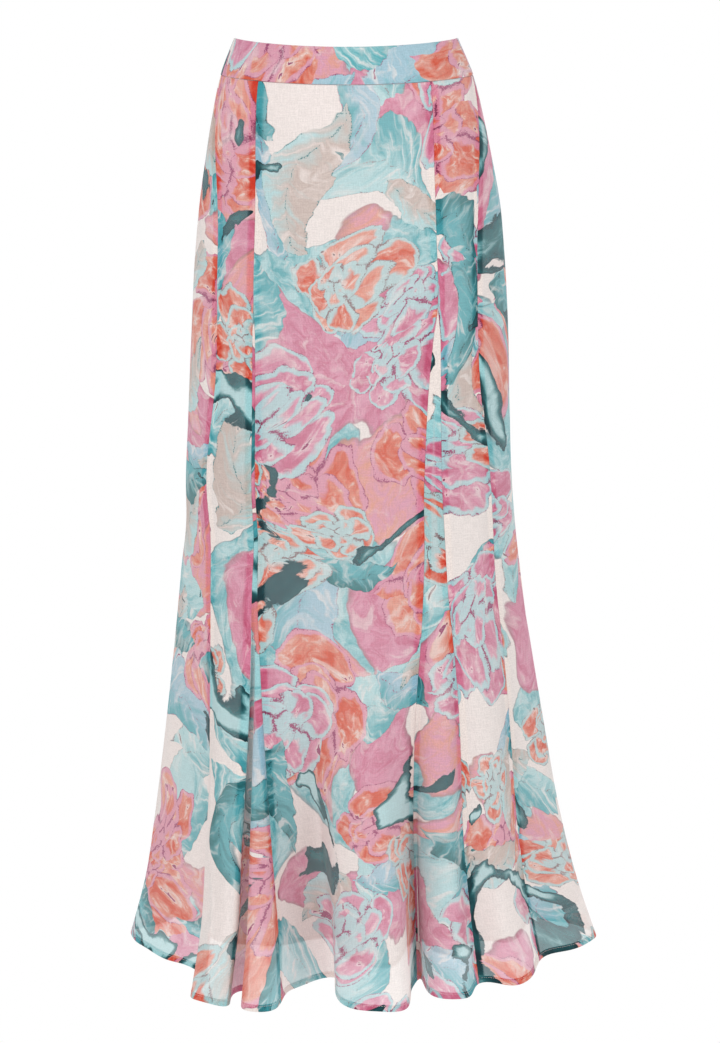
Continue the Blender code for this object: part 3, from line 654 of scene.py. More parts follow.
# Motifs from the lowest layer up, one or none to a cell.
MOTIFS = [  # kind, seed, cells_to_a_metre, size, half_width, chance, light, deep, rim, line
    ("leaf", 5.0, 6.2, 0.108, 0.040, 0.62, "aqua_light", "aqua", None, "taupe_dark"),
    ("leaf", 31.0, 7.0, 0.088, 0.030, 0.48, "sky", "aqua", None, "mauve"),
    ("rose", 17.0, 5.0, 0.088, None, 0.78, "coral_light", "coral", "pink_light", "mauve"),
    ("leaf", 61.0, 6.1, 0.080, 0.032, 0.40, "taupe", "aqua_light", None, "teal"),
    ("rose", 71.0, 5.0, 0.074, None, 0.38, "pink_light", "pink", "aqua_light", "mauve"),
    ("leaf", 83.0, 6.4, 0.074, 0.022, 0.34, "aqua", "teal", None, "teal_dark"),
    ("rose", 97.0, 5.2, 0.066, None, 0.46, "coral_light", "coral", "aqua_light", "taupe_dark"),
]


def watercolour_floral():
    """Loose watercolour roses and leaves over washes, in metres on the flat cloth."""
    settings = bpy.context.scene.skirt_print
    tint = {name: tuple(getattr(settings, name)) for name, *_ in DYES}
    ring, leaf = petal_ring_group(), leaf_group()
    tree, given, result = new_group("Watercolour floral", {"Place": "Vector"}, {"Colour": "Color"})
    place = add(tree, "VectorMath", given["Place"], {3: settings.scale}, operation="SCALE")
    # The hand that drifts: wide, then close.
    for scale, reach, detail in ((6.5, 0.095, 0.0), (34.0, 0.020, 2.0)):
        drift = add(tree, "TexNoise", {"Vector": place, "Scale": scale, "Detail": detail}, out=1,
                    noise_dimensions="2D")
        drift = add(tree, "VectorMath", drift, (0.5, 0.5, 0.5), **MINUS)
        place = add(tree, "VectorMath", drift, (reach, reach, 0.0), place, **TIMES_PLUS)
    brush = add(tree, "TexNoise", {"Vector": place, "Scale": 45.0, "Detail": 4.0, "Roughness": 0.68,
                                   "Distortion": 0.6}, noise_dimensions="2D")
    wash_tone = add(tree, "Math", brush, 3.2, -1.15, **TIMES_PLUS, use_clamp=True)
    speckle = add(tree, "TexNoise", {"Vector": given["Place"], "Scale": 620.0, "Detail": 0.0},
                  noise_dimensions="2D")

    # Washes: wide pools of thin paint, darker where each pool dried at its edge.
    colour = tint["ground"]
    for seed, scale, lowest, light, deep in WASHES:
        pool = add(tree, "TexNoise", {
            "Vector": add(tree, "VectorMath", place, (seed, -seed, 0.0), **PLUS),
            "Scale": scale, "Detail": 1.0}, noise_dimensions="2D")
        paint = add(tree, "Mix", {0: wash_tone, 6: tint[light], 7: tint[deep]}, **OVER)
        rim = add(tree, "MapRange", pool, lowest, lowest + 0.014, 0.7, 0.0)
        cover = add(tree, "MapRange", pool, lowest, lowest + 0.004)
        paint = add(tree, "Mix", {0: rim, 6: paint, 7: tint["taupe_dark"]}, **OVER)
        colour = add(tree, "Mix", {0: cover, 6: colour, 7: paint}, **OVER)

    for kind, seed, scale, size, half_width, chance, light, deep, rim, line in MOTIFS:
        shifted = add(tree, "VectorMath", place, (seed, 0.37 * seed, 0.0), **PLUS)
        cell = add(tree, "TexVoronoi", {"Vector": shifted, "Scale": scale, "Randomness": 0.8},
                   voronoi_dimensions="2D").node.outputs
        local = add(tree, "VectorMath", shifted, cell["Position"], **MINUS)
        luck = add(tree, "SeparateColor", cell["Color"]).node.outputs
        there = add(tree, "Math", luck[2], chance, operation="LESS_THAN")
        grown = add(tree, "Math", luck[1], 0.5, 0.72, **TIMES_PLUS)
        grown = add(tree, "Math", grown, there, **TIMES)
        paints = {"Pale": tint["ground"], "Light": tint[light], "Deep": tint[deep], "Line": tint[line],
                  "Speckle": speckle}
        if kind == "leaf":
            colour = add(tree, "Group", {
                "Under": colour, "Place": local, "Angle": add(tree, "Math", luck[0], 2 * math.pi, **TIMES),
                "Length": add(tree, "Math", grown, size, 0.1 * MM, **TIMES_PLUS),
                "Width": add(tree, "Math", grown, half_width, **TIMES), **paints}, node_tree=leaf)
            continue
        away = add(tree, "VectorMath", local, operation="NORMALIZE")
        reach = add(tree, "VectorMath", local, out=1, operation="LENGTH")
        away = add(tree, "VectorMath", away, (2.6, 2.6, 0.0), **TIMES)
        away = add(tree, "VectorMath", away, add(tree, "CombineXYZ", luck[0], luck[1], add(
            tree, "Math", reach, 26.0, **TIMES)), **PLUS)
        marks = add(tree, "TexNoise", {"Vector": away, "Scale": 1.7, "Detail": 2.0, "Roughness": 0.6})
        marks = add(tree, "Math", add(tree, "Math", brush, marks, **PLUS), 0.5, **TIMES)
        for share, petals, phase, aside, above in ROSE_RINGS:
            middle = add(tree, "VectorMath", local, (aside * size, above * size, 0.0), **MINUS)
            colour = add(tree, "Group", {
                "Under": colour, "Place": middle, "Radius": add(tree, "Math", grown, size * share, **TIMES),
                "Petals": petals, "Phase": add(tree, "Math", luck[0], phase, **PLUS), "Marks": marks,
                "Rim": tint[rim], **paints}, node_tree=ring)

    # Blooms, where clean water pushed the paint aside.
    bloom = add(tree, "TexNoise", {"Vector": place, "Scale": 26.0, "Detail": 4.0, "Roughness": 0.6,
                                   "Distortion": 1.2}, noise_dimensions="2D")
    bloom = add(tree, "MapRange", bloom, 0.52, 0.74, 0.0, 0.45, **SOFT)
    colour = add(tree, "Mix", {0: bloom, 6: colour, 7: tint["ground"]}, **OVER)

    # Ink blots: pools of the dark colour, thin and pale in their middles.
    blot = add(tree, "TexNoise", {
        "Vector": add(tree, "VectorMath", place, (41.0, 7.0, 0.0), **PLUS),
        "Scale": 6.5, "Detail": 2.0, "Roughness": 0.5, "Distortion": 0.9}, noise_dimensions="2D")
    blot = add(tree, "Math", add(tree, "Math", brush, 0.5, **MINUS), 0.06, blot, **TIMES_PLUS)
    cover = add(tree, "MapRange", blot, 0.655, 0.660)
    thin = add(tree, "MapRange", blot, 0.69, 0.725, **SOFT)
    spread = add(tree, "MapRange", blot, 0.665, 0.70)
    ink = add(tree, "Mix", {0: spread, 6: tint["teal_dark"], 7: tint["teal"]}, **OVER)
    ink = add(tree, "Mix", {0: thin, 6: ink, 7: tint["aqua_light"]}, **OVER)
    colour = add(tree, "Mix", {0: cover, 6: colour, 7: ink}, **OVER)

    # Granulation: pigment settles in the cloth's hollows.
    grain = add(tree, "MapRange", speckle, 0.3, 0.7, 0.96, 1.03)
    colour = add(tree, "Mix", {0: 1.0, 6: colour, 7: grain}, **SHADED)
    tree.links.new(colour, result.inputs[0])
    return tree


def weave(tree, place, wide, strength):
    """Slubby threads both ways: their height, and a bump from it.

    The real threads lie about 0.33 mm apart, too fine to show, so they are drawn `wide` apart.
    """
    threads = []
    for across, along in ((1.0, 0.07), (0.07, 1.0)):
        scaled = add(tree, "VectorMath", place, (across / wide, along / wide, 1.0), **TIMES)
        threads.append(add(tree, "TexNoise", {"Vector": scaled, "Scale": 1.0, "Detail": 0.0},
                           noise_dimensions="2D"))
    height = add(tree, "Math", *threads, **PLUS)
    bump = add(tree, "Bump", {"Strength": strength, "Distance": 0.3 * MM, "Height": height})
    return height, bump


def cloth_material(name, colour, wide, bump, through, see_through, fade=0.0, tone=1.0):
    """Woven cloth: colour is an sRGB code, or None for the print, which can fade towards its ground."""
    cloth, tree = new_material(name)
    place = add(tree, "UVMap", uv_map="flat cut")
    average = srgb(colour or PRINT_AVERAGE)
    if colour:
        colour = average
    else:
        if "Watercolour floral" not in bpy.data.node_groups:
            watercolour_floral()
        colour = add(tree, "Group", {"Place": place}, node_tree=bpy.data.node_groups["Watercolour floral"])
        if fade:
            ground = tuple(bpy.context.scene.skirt_print.ground)
            colour = add(tree, "Mix", {0: fade, 6: colour, 7: ground}, **OVER)
    # Where the cloth lies double, over a seam allowance or a hem, its colour is darkened: painted shade for
    # the light that the double cloth holds back.
    doubled = add(tree, "Attribute", out=2, attribute_name="doubled")
    colour = add(tree, "Gamma", colour, add(tree, "Math", doubled, 0.60, 1.12, **TIMES_PLUS))
    height, relief = weave(tree, place, wide, bump)
    # Colour follows the threads' height: partly the slubs' own tone, partly a painted highlight on the
    # threads' crowns and painted shade in their hollows.
    slub_tone_and_sheen = add(tree, "MapRange", height, 0.6, 1.4, 0.93 * tone, 1.05 * tone)
    colour = add(tree, "Mix", {0: 1.0, 6: colour, 7: slub_tone_and_sheen}, **SHADED)
    shader = add(tree, "BsdfPrincipled", {
        "Base Color": colour, "Roughness": 0.85, "IOR": 1.5, "Specular IOR Level": 0.25,
        "Sheen Weight": 0.12, "Sheen Roughness": 0.5, "Normal": relief})
    if through:
        glow = add(tree, "BsdfTranslucent", colour, relief)
        shader = add(tree, "MixShader", through, shader, glow)
    # Shadows and light that has bounced off cloth take its average colour, which renders sooner. What
    # the cloth lets through, clear or scattered, passes straight there.
    plain = add(tree, "BsdfDiffuse", average)
    if see_through:
        clear = add(tree, "BsdfTransparent", (1.0, 1.0, 1.0))
        share = add(tree, "Math", doubled, -0.75 * see_through, see_through, **TIMES_PLUS)
        shader = add(tree, "MixShader", share, shader, clear)
        plain = add(tree, "MixShader", see_through + through, plain, clear)
    path = add(tree, "LightPath").node.outputs
    indirect = add(tree, "Math", path["Is Shadow Ray"], path["Is Diffuse Ray"], **PLUS)
    add(tree, "OutputMaterial", add(tree, "MixShader", indirect, shader, plain))
    return cloth


# The cloths: colour, thread spacing, relief, light let through, see-through share, fading, tone. A look
# through a sheet passes its face and its reverse, so their two see-through shares multiply.
CLOTHS = {
    # Cotton-silk voile, plain woven from fine slubby yarn and printed: matt, soft and sheer, so that
    # its turned edges show as denser bands. Light comes through it.
    "printed voile": (None, 0.9 * MM, 0.3, 0.12, 0.27),
    # The wrong side of the same voile: the print strikes through paler.
    "printed voile reverse": (None, 0.9 * MM, 0.3, 0.12, 0.64, 0.25),
    # The same voile fused to a woven interfacing: opaque, a little smoother, flatter and deeper.
    "printed voile on interfacing": (None, 0.9 * MM, 0.2, 0.0, 0.0, 0.0, 0.78),
    # Undyed cotton voile: plain woven, off-white, half sheer.
    "lining voile": ("F8F4F0", 1.1 * MM, 0.25, 0.15, 0.22),
    "lining voile reverse": ("F8F4F0", 1.1 * MM, 0.25, 0.15, 0.60),
}


def zip_tape(name):
    # Polyester tape, woven with fine ribs along its length: matt with a slight sheen on the ribs.
    tape, tree = new_material(name)
    place = add(tree, "UVMap", uv_map="flat cut")
    # Ribs 1.1 mm apart, about twice the real spacing, so that they show.
    scaled = add(tree, "VectorMath", place, (1 / (1.1 * MM), 1 / (0.7 * MM), 1.0), **TIMES)
    ribs = add(tree, "TexWave", {"Vector": scaled, "Scale": math.pi / 10, "Distortion": 0.6,
                                 "Detail": 1.0}, bands_direction="X")
    fibres = add(tree, "TexNoise", {"Vector": scaled, "Scale": 1.5, "Detail": 2.0})
    height = add(tree, "Math", fibres, 0.5, ribs, **TIMES_PLUS)
    bump = add(tree, "Bump", {"Strength": 0.5, "Distance": 0.2 * MM, "Height": height})
    tone = add(tree, "MapRange", height, 0.2, 1.3)
    colour = add(tree, "Mix", {0: tone, 6: srgb("DED5CF"), 7: srgb("F3EDE8")}, **OVER)
    shader = add(tree, "BsdfPrincipled", {"Base Color": colour, "Roughness": 0.75, "IOR": 1.55,
                                          "Sheen Weight": 0.1, "Normal": bump})
    add(tree, "OutputMaterial", shader)
    return tape


def sewing_thread(name):
    # Spun polyester thread of two plies: soft, with a faint sheen where the plies turn over.
    thread, tree = new_material(name)
    place = add(tree, "TexCoord", out=3)
    # The ply's turns are 0.5 mm apart, about as the real ones are.
    fibres = add(tree, "TexNoise", {"Vector": place, "Scale": 1 / (0.5 * MM), "Detail": 2.0})
    bump = add(tree, "Bump", {"Strength": 0.5, "Distance": 0.1 * MM, "Height": fibres})
    tone = add(tree, "MapRange", fibres, 0.3, 0.7)
    colour = add(tree, "Mix", {0: tone, 6: srgb("C9B2B2"), 7: srgb("EBDCD9")}, **OVER)
    shader = add(tree, "BsdfPrincipled", {"Base Color": colour, "Roughness": 0.6, "IOR": 1.55,
                                          "Sheen Weight": 0.15, "Normal": bump})
    add(tree, "OutputMaterial", shader)
    return thread


def moulded(name, low, high, grain, bump, surface):
    """A hard piece whose colour and relief vary with a fine grain, in its own coordinates."""
    piece, tree = new_material(name)
    place = add(tree, "TexCoord", out=3)
    grains = add(tree, "TexNoise", {"Vector": place, "Scale": 1 / grain, "Detail": 3.0})
    relief = add(tree, "Bump", {"Strength": bump, "Distance": 0.1 * MM, "Height": grains})
    tone = add(tree, "MapRange", grains, 0.35, 0.65)
    colour = add(tree, "Mix", {0: tone, 6: srgb(low), 7: srgb(high)}, **OVER)
    shader = add(tree, "BsdfPrincipled", {"Base Color": colour, "Normal": relief, **surface})
    add(tree, "OutputMaterial", shader)
    return piece


def zip_coil(name):
    # Nylon 66 monofilament, drawn and wound: half gloss, slightly milky.
    return moulded(name, "DCD3CC", "F0EAE5", 0.8 * MM, 0.15, {"Roughness": 0.38, "IOR": 1.53})


def zip_metal(name):
    # Die-cast zinc, spray-enamelled to match the tape: glossy, with a fine orange-peel skin.
    return moulded(name, "E3DAD3", "EAE2DC", 0.6 * MM, 0.12, {
        "Roughness": 0.28, "IOR": 1.5, "Coat Weight": 0.3, "Coat Roughness": 0.1})


FINISHES = {
    "polyester sewing thread": sewing_thread,
    "woven zip tape": zip_tape,
    "nylon zip coil": zip_coil,
    "enamelled zinc": zip_metal,
}


def build_panels():
    """The printed panels and godets."""
    cloth = bpy.context.scene.skirt_cloth
    for name, first, last, width, length, area, x, y in PANELS:
        top = GODET_POINT if (first, last) in GODETS else WAIST_SEAM
        points, flat, doubled = lay_cloth(PRINTED, first, last, top, HEM, lambda height: cloth.face,
                                          ZIP_OPENING / 2, cloth.spacing, cloth.seam_allowance,
                                          cloth.hem_depth)
        obj = grid_object("printed_" + name, points, flat + (x, y), doubled)
        add_wall(obj, cloth.thickness, 1)
        dress(obj, "printed voile / printed voile reverse", "skirt", name, slot="printed_cloth")


def lining_out(height):
    """Where the lining's face hangs: close behind the panels at the waist, free below the hip."""
    share = np.clip((WAIST_SEAM - height) / (WAIST_SEAM - LINING_SPACE_REACHED), 0.0, 1.0)
    return -(LINING_SPACE_TOP + (LINING_SPACE - LINING_SPACE_TOP) * share)


def build_lining():
    """The lining's front and two backs, with a slot for the zip."""
    cloth = bpy.context.scene.skirt_cloth
    for name, first, last, width, length, area in LININGS:
        points, flat, doubled = lay_cloth(LINED, first, last, WAIST_SEAM, LINING_HEM, lining_out,
                                          LINING_BACK_OPENING / 2, cloth.spacing * LINING_SPACING,
                                          cloth.seam_allowance, cloth.hem_depth * LINING_SHARE)
        obj = grid_object("voile_" + name, points, flat, doubled)
        add_wall(obj, cloth.thickness * LINING_SHARE, 1)
        dress(obj, "lining voile / lining voile reverse", "skirt", name, slot="lining_cloth")


def band_surface(turn, share):
    """Middle of the waistband: share 0 on its lower seam, 1 on its top edge."""
    height = WAIST_SEAM + SEAM_GAP + (WAIST_TOP - WAIST_SEAM - SEAM_GAP) * share
    return np.concatenate([body(turn, height), (height - dip(turn))[..., None]], -1)


def build_waistband():
    """The three lengths of the waistband, each a folded wall swept round the waist."""
    turns = seam_turns(np.array(WAIST_SEAM))
    half = BAND_WALL / 2
    tall = WAIST_TOP - WAIST_SEAM
    # Round the folded cloth: up the outside, over the top edge and down the inside.
    bend = np.radians(np.linspace(0, 180, 9))
    crown = half * BAND_CROWN
    rise = np.linspace(0.6 * MM, tall - crown, 12)
    path = [(z, half - depth) for z, depth in BAND_FOOT]
    path += [(z, half) for z in rise]
    path += [(tall - crown + crown * math.sin(a), half * math.cos(a)) for a in bend[1:-1]]
    path += [(z, -half) for z in rise[::-1]]
    path += [(z, depth - half) for z, depth in BAND_FOOT[::-1]]
    path = np.array(path)
    round_it = np.concatenate([[0.0], np.cumsum(np.linalg.norm(np.diff(path, axis=0), axis=1))])
    for name, first, last, width, length, x, y in BANDS:
        start, end = (turns[ROUND.index(seam)] for seam in (first, last))
        end += 360.0 * (end <= start)
        columns = np.linspace(start, end, round((end - start) / BAND_TURN_STEP))
        turn, share = np.meshgrid(columns, path[:, 0] / tall)
        out = np.broadcast_to(path[:, 1][:, None], turn.shape)
        step = 0.05
        along = band_surface(turn + step, share) - band_surface(turn - step, share)
        up = band_surface(turn, share + step) - band_surface(turn, share - step)
        normal = np.cross(along, up)
        normal /= np.linalg.norm(normal, axis=-1, keepdims=True)
        along /= np.linalg.norm(along, axis=-1, keepdims=True)
        give = 0.12 * MM * np.cos(turn * 0.42 + share * 5.0) * np.sin(turn * 0.13 + 1.0)
        points = band_surface(turn, share) + normal * (out - BAND_SET_BACK + give)[..., None]
        # The ends are seams: drawn in a little, so that each shows as a fine groove.
        for side, seam in ((0, first), (-1, last)):
            gap = ZIP_OPENING / 2 if seam == "centre_back" else 0.05 * MM
            into = 1.0 if side == 0 else -1.0
            points[:, side] += along[:, side] * gap * into
        across = np.concatenate([[0.0], np.cumsum(np.linalg.norm(np.diff(points[8], axis=0), axis=1))])
        flat = np.stack(np.broadcast_arrays(across[None] + x, round_it[:, None] + y), -1)
        obj = grid_object(name + "_cloth", points[::-1], flat[::-1], loop=True)
        close_ends(obj, len(path), len(columns))
        dress(obj, "printed voile on interfacing", "skirt", name, slot="waistband_cloth")


def close_ends(obj, rows, cols):
    """Closes the two ends of a swept loop."""
    mesh = bmesh.new()
    mesh.from_mesh(obj.data)
    mesh.verts.ensure_lookup_table()
    for column, flip in ((0, False), (cols - 1, True)):
        ring = [mesh.verts[r * cols + column] for r in range(rows)]
        face = mesh.faces.new(ring if flip else ring[::-1])
        face.smooth = False
    bmesh.ops.recalc_face_normals(mesh, faces=mesh.faces)
    mesh.to_mesh(obj.data)
    mesh.free()


def stitch_tree():
    """Thread stitches along a line, each a small rounded bar that lies along it."""
    tree, given, result = new_group("Sewn stitches", {
        "Line": "Geometry", "Stitch length": "Float", "Gap": "Float", "Thread width": "Float",
        "Thread": "Material"}, {"Stitches": "Geometry"}, "GeometryNodeTree")
    pitch = add(tree, "Math", given["Stitch length"], given["Gap"], **PLUS)
    line = add(tree, "GeometryNodeMeshToCurve", given["Line"])
    line = add(tree, "GeometryNodeResampleCurve", {"Curve": line, "Length": pitch}, mode="LENGTH")
    tangent = add(tree, "GeometryNodeInputTangent")
    turned = add(tree, "FunctionNodeAlignRotationToVector", {"Vector": tangent}, axis="X")
    bead = add(tree, "GeometryNodeMeshUVSphere", 6, 4, 0.5)
    size = add(tree, "CombineXYZ", given["Stitch length"], given["Thread width"], given["Thread width"])
    bead = add(tree, "GeometryNodeTransform", {"Geometry": bead, "Scale": size})
    bead = add(tree, "GeometryNodeSetShadeSmooth", bead)
    sewn = add(tree, "GeometryNodeInstanceOnPoints", {"Points": line, "Instance": bead, "Rotation": turned})
    sewn = add(tree, "GeometryNodeRealizeInstances", sewn)
    sewn = add(tree, "GeometryNodeSetMaterial", {"Geometry": sewn, "Material": given["Thread"]})
    tree.links.new(sewn, result.inputs[0])
    return tree


def grow(name, tree, lines, inputs):
    """Runs a Geometry Nodes tree on lines of points, and keeps the result as a plain mesh."""
    points, edges = [], []
    for line in lines:
        edges += [(len(points) + i, len(points) + i + 1) for i in range(len(line) - 1)]
        points += [tuple(point) for point in line]
    mesh = bpy.data.meshes.new(name)
    mesh.from_pydata(points, edges, [])
    obj = show(bpy.data.objects.new(name, mesh))
    modifier = obj.modifiers.new(tree.name, "NODES")
    modifier.node_group = tree
    for item in tree.interface.items_tree:
        if item.in_out == "INPUT" and item.name in inputs:
            modifier[item.identifier] = inputs[item.name]
    graph = bpy.context.evaluated_depsgraph_get()
    made = bpy.data.meshes.new_from_object(obj.evaluated_get(graph))
    obj.modifiers.remove(modifier)
    obj.data = made
    return obj


def back_line(height):
    """Middle of the cloth on the centre back line at a height, and the outward direction there."""
    height = np.asarray(height, float)
    share = np.clip((height - WAIST_SEAM) / (WAIST_TOP - WAIST_SEAM), 0.0, None)
    place = PRINTED.places[ROUND.index("centre_back")]
    above = height > WAIST_SEAM
    turn = np.full(height.shape, 180.0)
    point, higher = (np.where(above[..., None], band_surface(turn, share + step / (WAIST_TOP - WAIST_SEAM)),
                              PRINTED.middle(place, np.minimum(height, WAIST_SEAM) + step))
                     for step in (0.0, MM))
    up = higher - point
    outward = np.stack([np.zeros_like(height), up[..., 2], -up[..., 1]], -1)
    return point, outward / np.linalg.norm(outward, axis=-1, keepdims=True)


def behind_back(side, depth, height):
    """A place beside the centre back line and behind the cloth's middle."""
    point, outward = back_line(height)
    bend = level(3, height) / level(1, height) ** 2 / 2
    drop = depth + bend * np.asarray(side) ** 2
    point = point - outward * drop[..., None]
    point[..., 0] += side
    return point


def band_line(inside):
    """A line round the waistband's inner face, just above its seam, from one side of the zip to the other."""
    turn = np.arange(181.5, 538.5, 1.0)
    share = np.full(turn.shape, BAND_STITCHED_AT)
    points, step = band_surface(turn, share), 0.05
    normal = np.cross(band_surface(turn + step, share) - points, band_surface(turn, share + step) - points)
    return points - normal / np.linalg.norm(normal, axis=-1, keepdims=True) * (BAND_SET_BACK + inside)


def build_stitching():
    """Thread on both hems and on the waistband's inner seam."""
    sewing = bpy.context.scene.skirt_sewing
    cloth = bpy.context.scene.skirt_cloth
    tree = stitch_tree()
    thread = material("polyester sewing thread")
    inputs = {"Stitch length": sewing.stitch, "Gap": sewing.gap, "Thread width": sewing.thread,
              "Thread": thread}
    # Each hem is sewn near its folded-in edge and shows on both faces.
    behind = -ROLL[-1, 1] - cloth.thickness
    hems = {
        "hem_stitching": (PRINTED, HEM + cloth.hem_depth * STITCHED_AT, cloth.face),
        "lining_hem_stitching": (LINED, LINING_HEM + cloth.hem_depth * LINING_SHARE * STITCHED_AT,
                                 -LINING_SPACE),
    }
    for name, (tube, height, face) in hems.items():
        arc = np.arange(0.0, tube.length, 2.0 * MM)
        lines = [tube.place(arc, np.full(arc.shape, height), face + out) for out in (0.04 * MM, behind)]
        dress(grow(name, tree, lines, inputs), thread.name, "skirt")
    dress(grow("waistband_stitching", tree, [band_line(BAND_WALL / 2)], inputs), thread.name, "skirt")


def coil_tree():
    """The closed coil of a zip: bars from both sides whose heads lock on the middle line."""
    tree, given, result = new_group("Zip coil", {
        "Line": "Geometry", "Pitch": "Float", "Reach": "Float", "Filament": "Float", "Head": "Float",
        "Nylon": "Material"}, {"Coil": "Geometry"}, "GeometryNodeTree")
    line = add(tree, "GeometryNodeMeshToCurve", given["Line"])
    half_pitch = add(tree, "Math", given["Pitch"], 0.5, **TIMES)
    line = add(tree, "GeometryNodeResampleCurve", {"Curve": line, "Length": half_pitch}, mode="LENGTH")
    # One bar: from its head, past the middle line, out to the tape.
    inner = add(tree, "CombineXYZ", add(tree, "Math", given["Head"], -0.5, **TIMES))
    outer = add(tree, "CombineXYZ", given["Reach"], 0.0, half_pitch)
    bar = add(tree, "GeometryNodeCurvePrimitiveLine", {"Start": inner, "End": outer})
    ring = add(tree, "GeometryNodeCurvePrimitiveCircle", {"Resolution": 8, "Radius": add(
        tree, "Math", given["Filament"], 0.5, **TIMES)})
    bar = add(tree, "GeometryNodeCurveToMesh", {"Curve": bar, "Profile Curve": ring, "Fill Caps": True})
    head = add(tree, "GeometryNodeMeshUVSphere", 8, 5, 0.5)
    size = add(tree, "CombineXYZ", given["Head"], given["Head"], add(
        tree, "Math", given["Filament"], 1.25, **TIMES))
    head = add(tree, "GeometryNodeTransform", {"Geometry": head, "Translation": inner, "Scale": size})
    loop = add(tree, "GeometryNodeTransform", {"Geometry": head, "Translation": add(
        tree, "VectorMath", outer, inner, **MINUS)})
    tooth = add(tree, "GeometryNodeJoinGeometry")
    for piece in (bar, head, loop):
        tree.links.new(piece, tooth.node.inputs[0])
    tooth = add(tree, "GeometryNodeSetShadeSmooth", tooth)
    # Every second bar comes from the other tape.
    index = add(tree, "GeometryNodeInputIndex")
    odd = add(tree, "Math", index, 2.0, operation="MODULO")
    turned = add(tree, "CombineXYZ", 0.0, 0.0, add(tree, "Math", odd, math.pi, **TIMES))
    coil = add(tree, "GeometryNodeInstanceOnPoints", {"Points": line, "Instance": tooth, "Rotation": turned})
    coil = add(tree, "GeometryNodeRealizeInstances", coil)
    coil = add(tree, "GeometryNodeSetMaterial", {"Geometry": coil, "Material": given["Nylon"]})
    tree.links.new(coil, result.inputs[0])
    return tree


def build_zip():
    """Tapes and coil of the concealed zip, and the finish of its slider and pull tab."""
    sewing = bpy.context.scene.skirt_sewing
    tape, nylon, metal = (material(name) for name in ("woven zip tape", "nylon zip coil", "enamelled zinc"))
    top = WAIST_TOP - SLIDER_BELOW_EDGE
    inner, outer = CHAIN_HALF + SEAM_GAP, TAPE_HALF
    for name, side in (("zip_tape_left", 1), ("zip_tape_right", -1)):
        across = np.linspace(inner, outer, 12)
        height = np.linspace(top, ZIP_END, round((top - ZIP_END) / (3 * MM)))
        # The tape stands up a little where it folds round the coil.
        depth = ZIP_DEPTH + 0.1 * MM + TAPE_STEP * np.clip((across - inner) / TAPE_STEP_OVER, 0.0, 1.0)
        across, depth, tall = np.broadcast_arrays(across[None], depth[None], height[:, None])
        points = behind_back(side * across, depth, tall)
        flat = np.stack([side * across, tall], -1)
        if side > 0:
            points, flat = points[:, ::-1], flat[:, ::-1]
        obj = grid_object("woven_" + name, points, flat)
        add_wall(obj, TAPE_WALL)
        dress(obj, tape.name, "skirt", name, slot="zip_tape")

    half_pitch = sewing.coil_pitch / 2
    height = np.arange(top - SLIDER_HEIGHT - SEAM_GAP - half_pitch, ZIP_END + half_pitch, -2 * MM)
    line = behind_back(np.zeros_like(height), np.full(height.shape, ZIP_DEPTH + COIL_DEPTH), height)
    coil = grow("nylon_zip_coil", coil_tree(), [line], {
        "Pitch": sewing.coil_pitch, "Reach": COIL_REACH, "Filament": COIL_FILAMENT, "Head": COIL_HEAD,
        "Nylon": nylon})
    dress(coil, nylon.name, "skirt", "zip_chain", slot="zip_coil")
    for name in ("zip_slider", "zip_pull"):
        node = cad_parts[name]
        node.data.materials.clear()
        node.data.materials.append(metal)


def build_stage():
    """Camera, white surroundings, lamps and floor."""
    stage = bpy.context.scene.skirt_stage
    scene = bpy.context.scene
    camera = bpy.data.cameras.new("camera")
    camera.lens = CAMERA_LENS
    camera.sensor_width = 36.0
    camera.sensor_fit = "AUTO"
    seen = show(bpy.data.objects.new("camera", camera))
    seen.location = CAMERA_PLACE
    seen.rotation_euler = (math.radians(CAMERA_TILT), 0.0, 0.0)
    scene.camera = seen

    scene.view_settings.view_transform = "Standard"
    world = bpy.data.worlds.new("white studio")
    world.use_nodes = True
    scene.world = world
    world.node_tree.nodes.clear()
    # Pure white where it is seen, and the fill light everywhere else.
    seen_at = add(world.node_tree, "LightPath").node.outputs["Is Camera Ray"]
    strength = add(world.node_tree, "MapRange", seen_at, 0.0, 1.0, stage.fill, 1.0)
    sky = add(world.node_tree, "Background", (1.0, 1.0, 1.0), strength)
    add(world.node_tree, "OutputWorld", sky)

    for name, place, size, share, colour in LAMPS:
        light = bpy.data.lights.new(name, "AREA")
        light.shape = "DISK"
        light.size = size
        light.energy = stage.key * share
        light.color = colour
        lamp = show(bpy.data.objects.new(name, light))
        lamp.location = place
        aim = np.array(LAMPS_AIM) - place
        lamp.rotation_euler = (math.atan2(np.hypot(aim[0], aim[1]), -aim[2]), 0.0,
                               math.atan2(aim[1], aim[0]) - math.pi / 2)

    # Seamless background paper under the skirt, lit so evenly that it shows as plain white. It is
    # clear from below, so that the inside of the skirt can be seen.
    across = np.array([-FLOOR_HALF, FLOOR_HALF])
    x, y = np.meshgrid(across, across[::-1])
    points = np.stack([x, y, np.full_like(x, FLOOR_HEIGHT)], -1)
    paper, tree = new_material("white background paper")
    below = add(tree, "NewGeometry", out=6)
    glow = add(tree, "Emission", (1.0, 1.0, 1.0), 1.0)
    clear = add(tree, "BsdfTransparent", (1.0, 1.0, 1.0))
    add(tree, "OutputMaterial", add(tree, "MixShader", below, glow, clear))
    floor = grid_object("studio_floor", points, points[..., :2])
    floor.data.materials.append(paper)


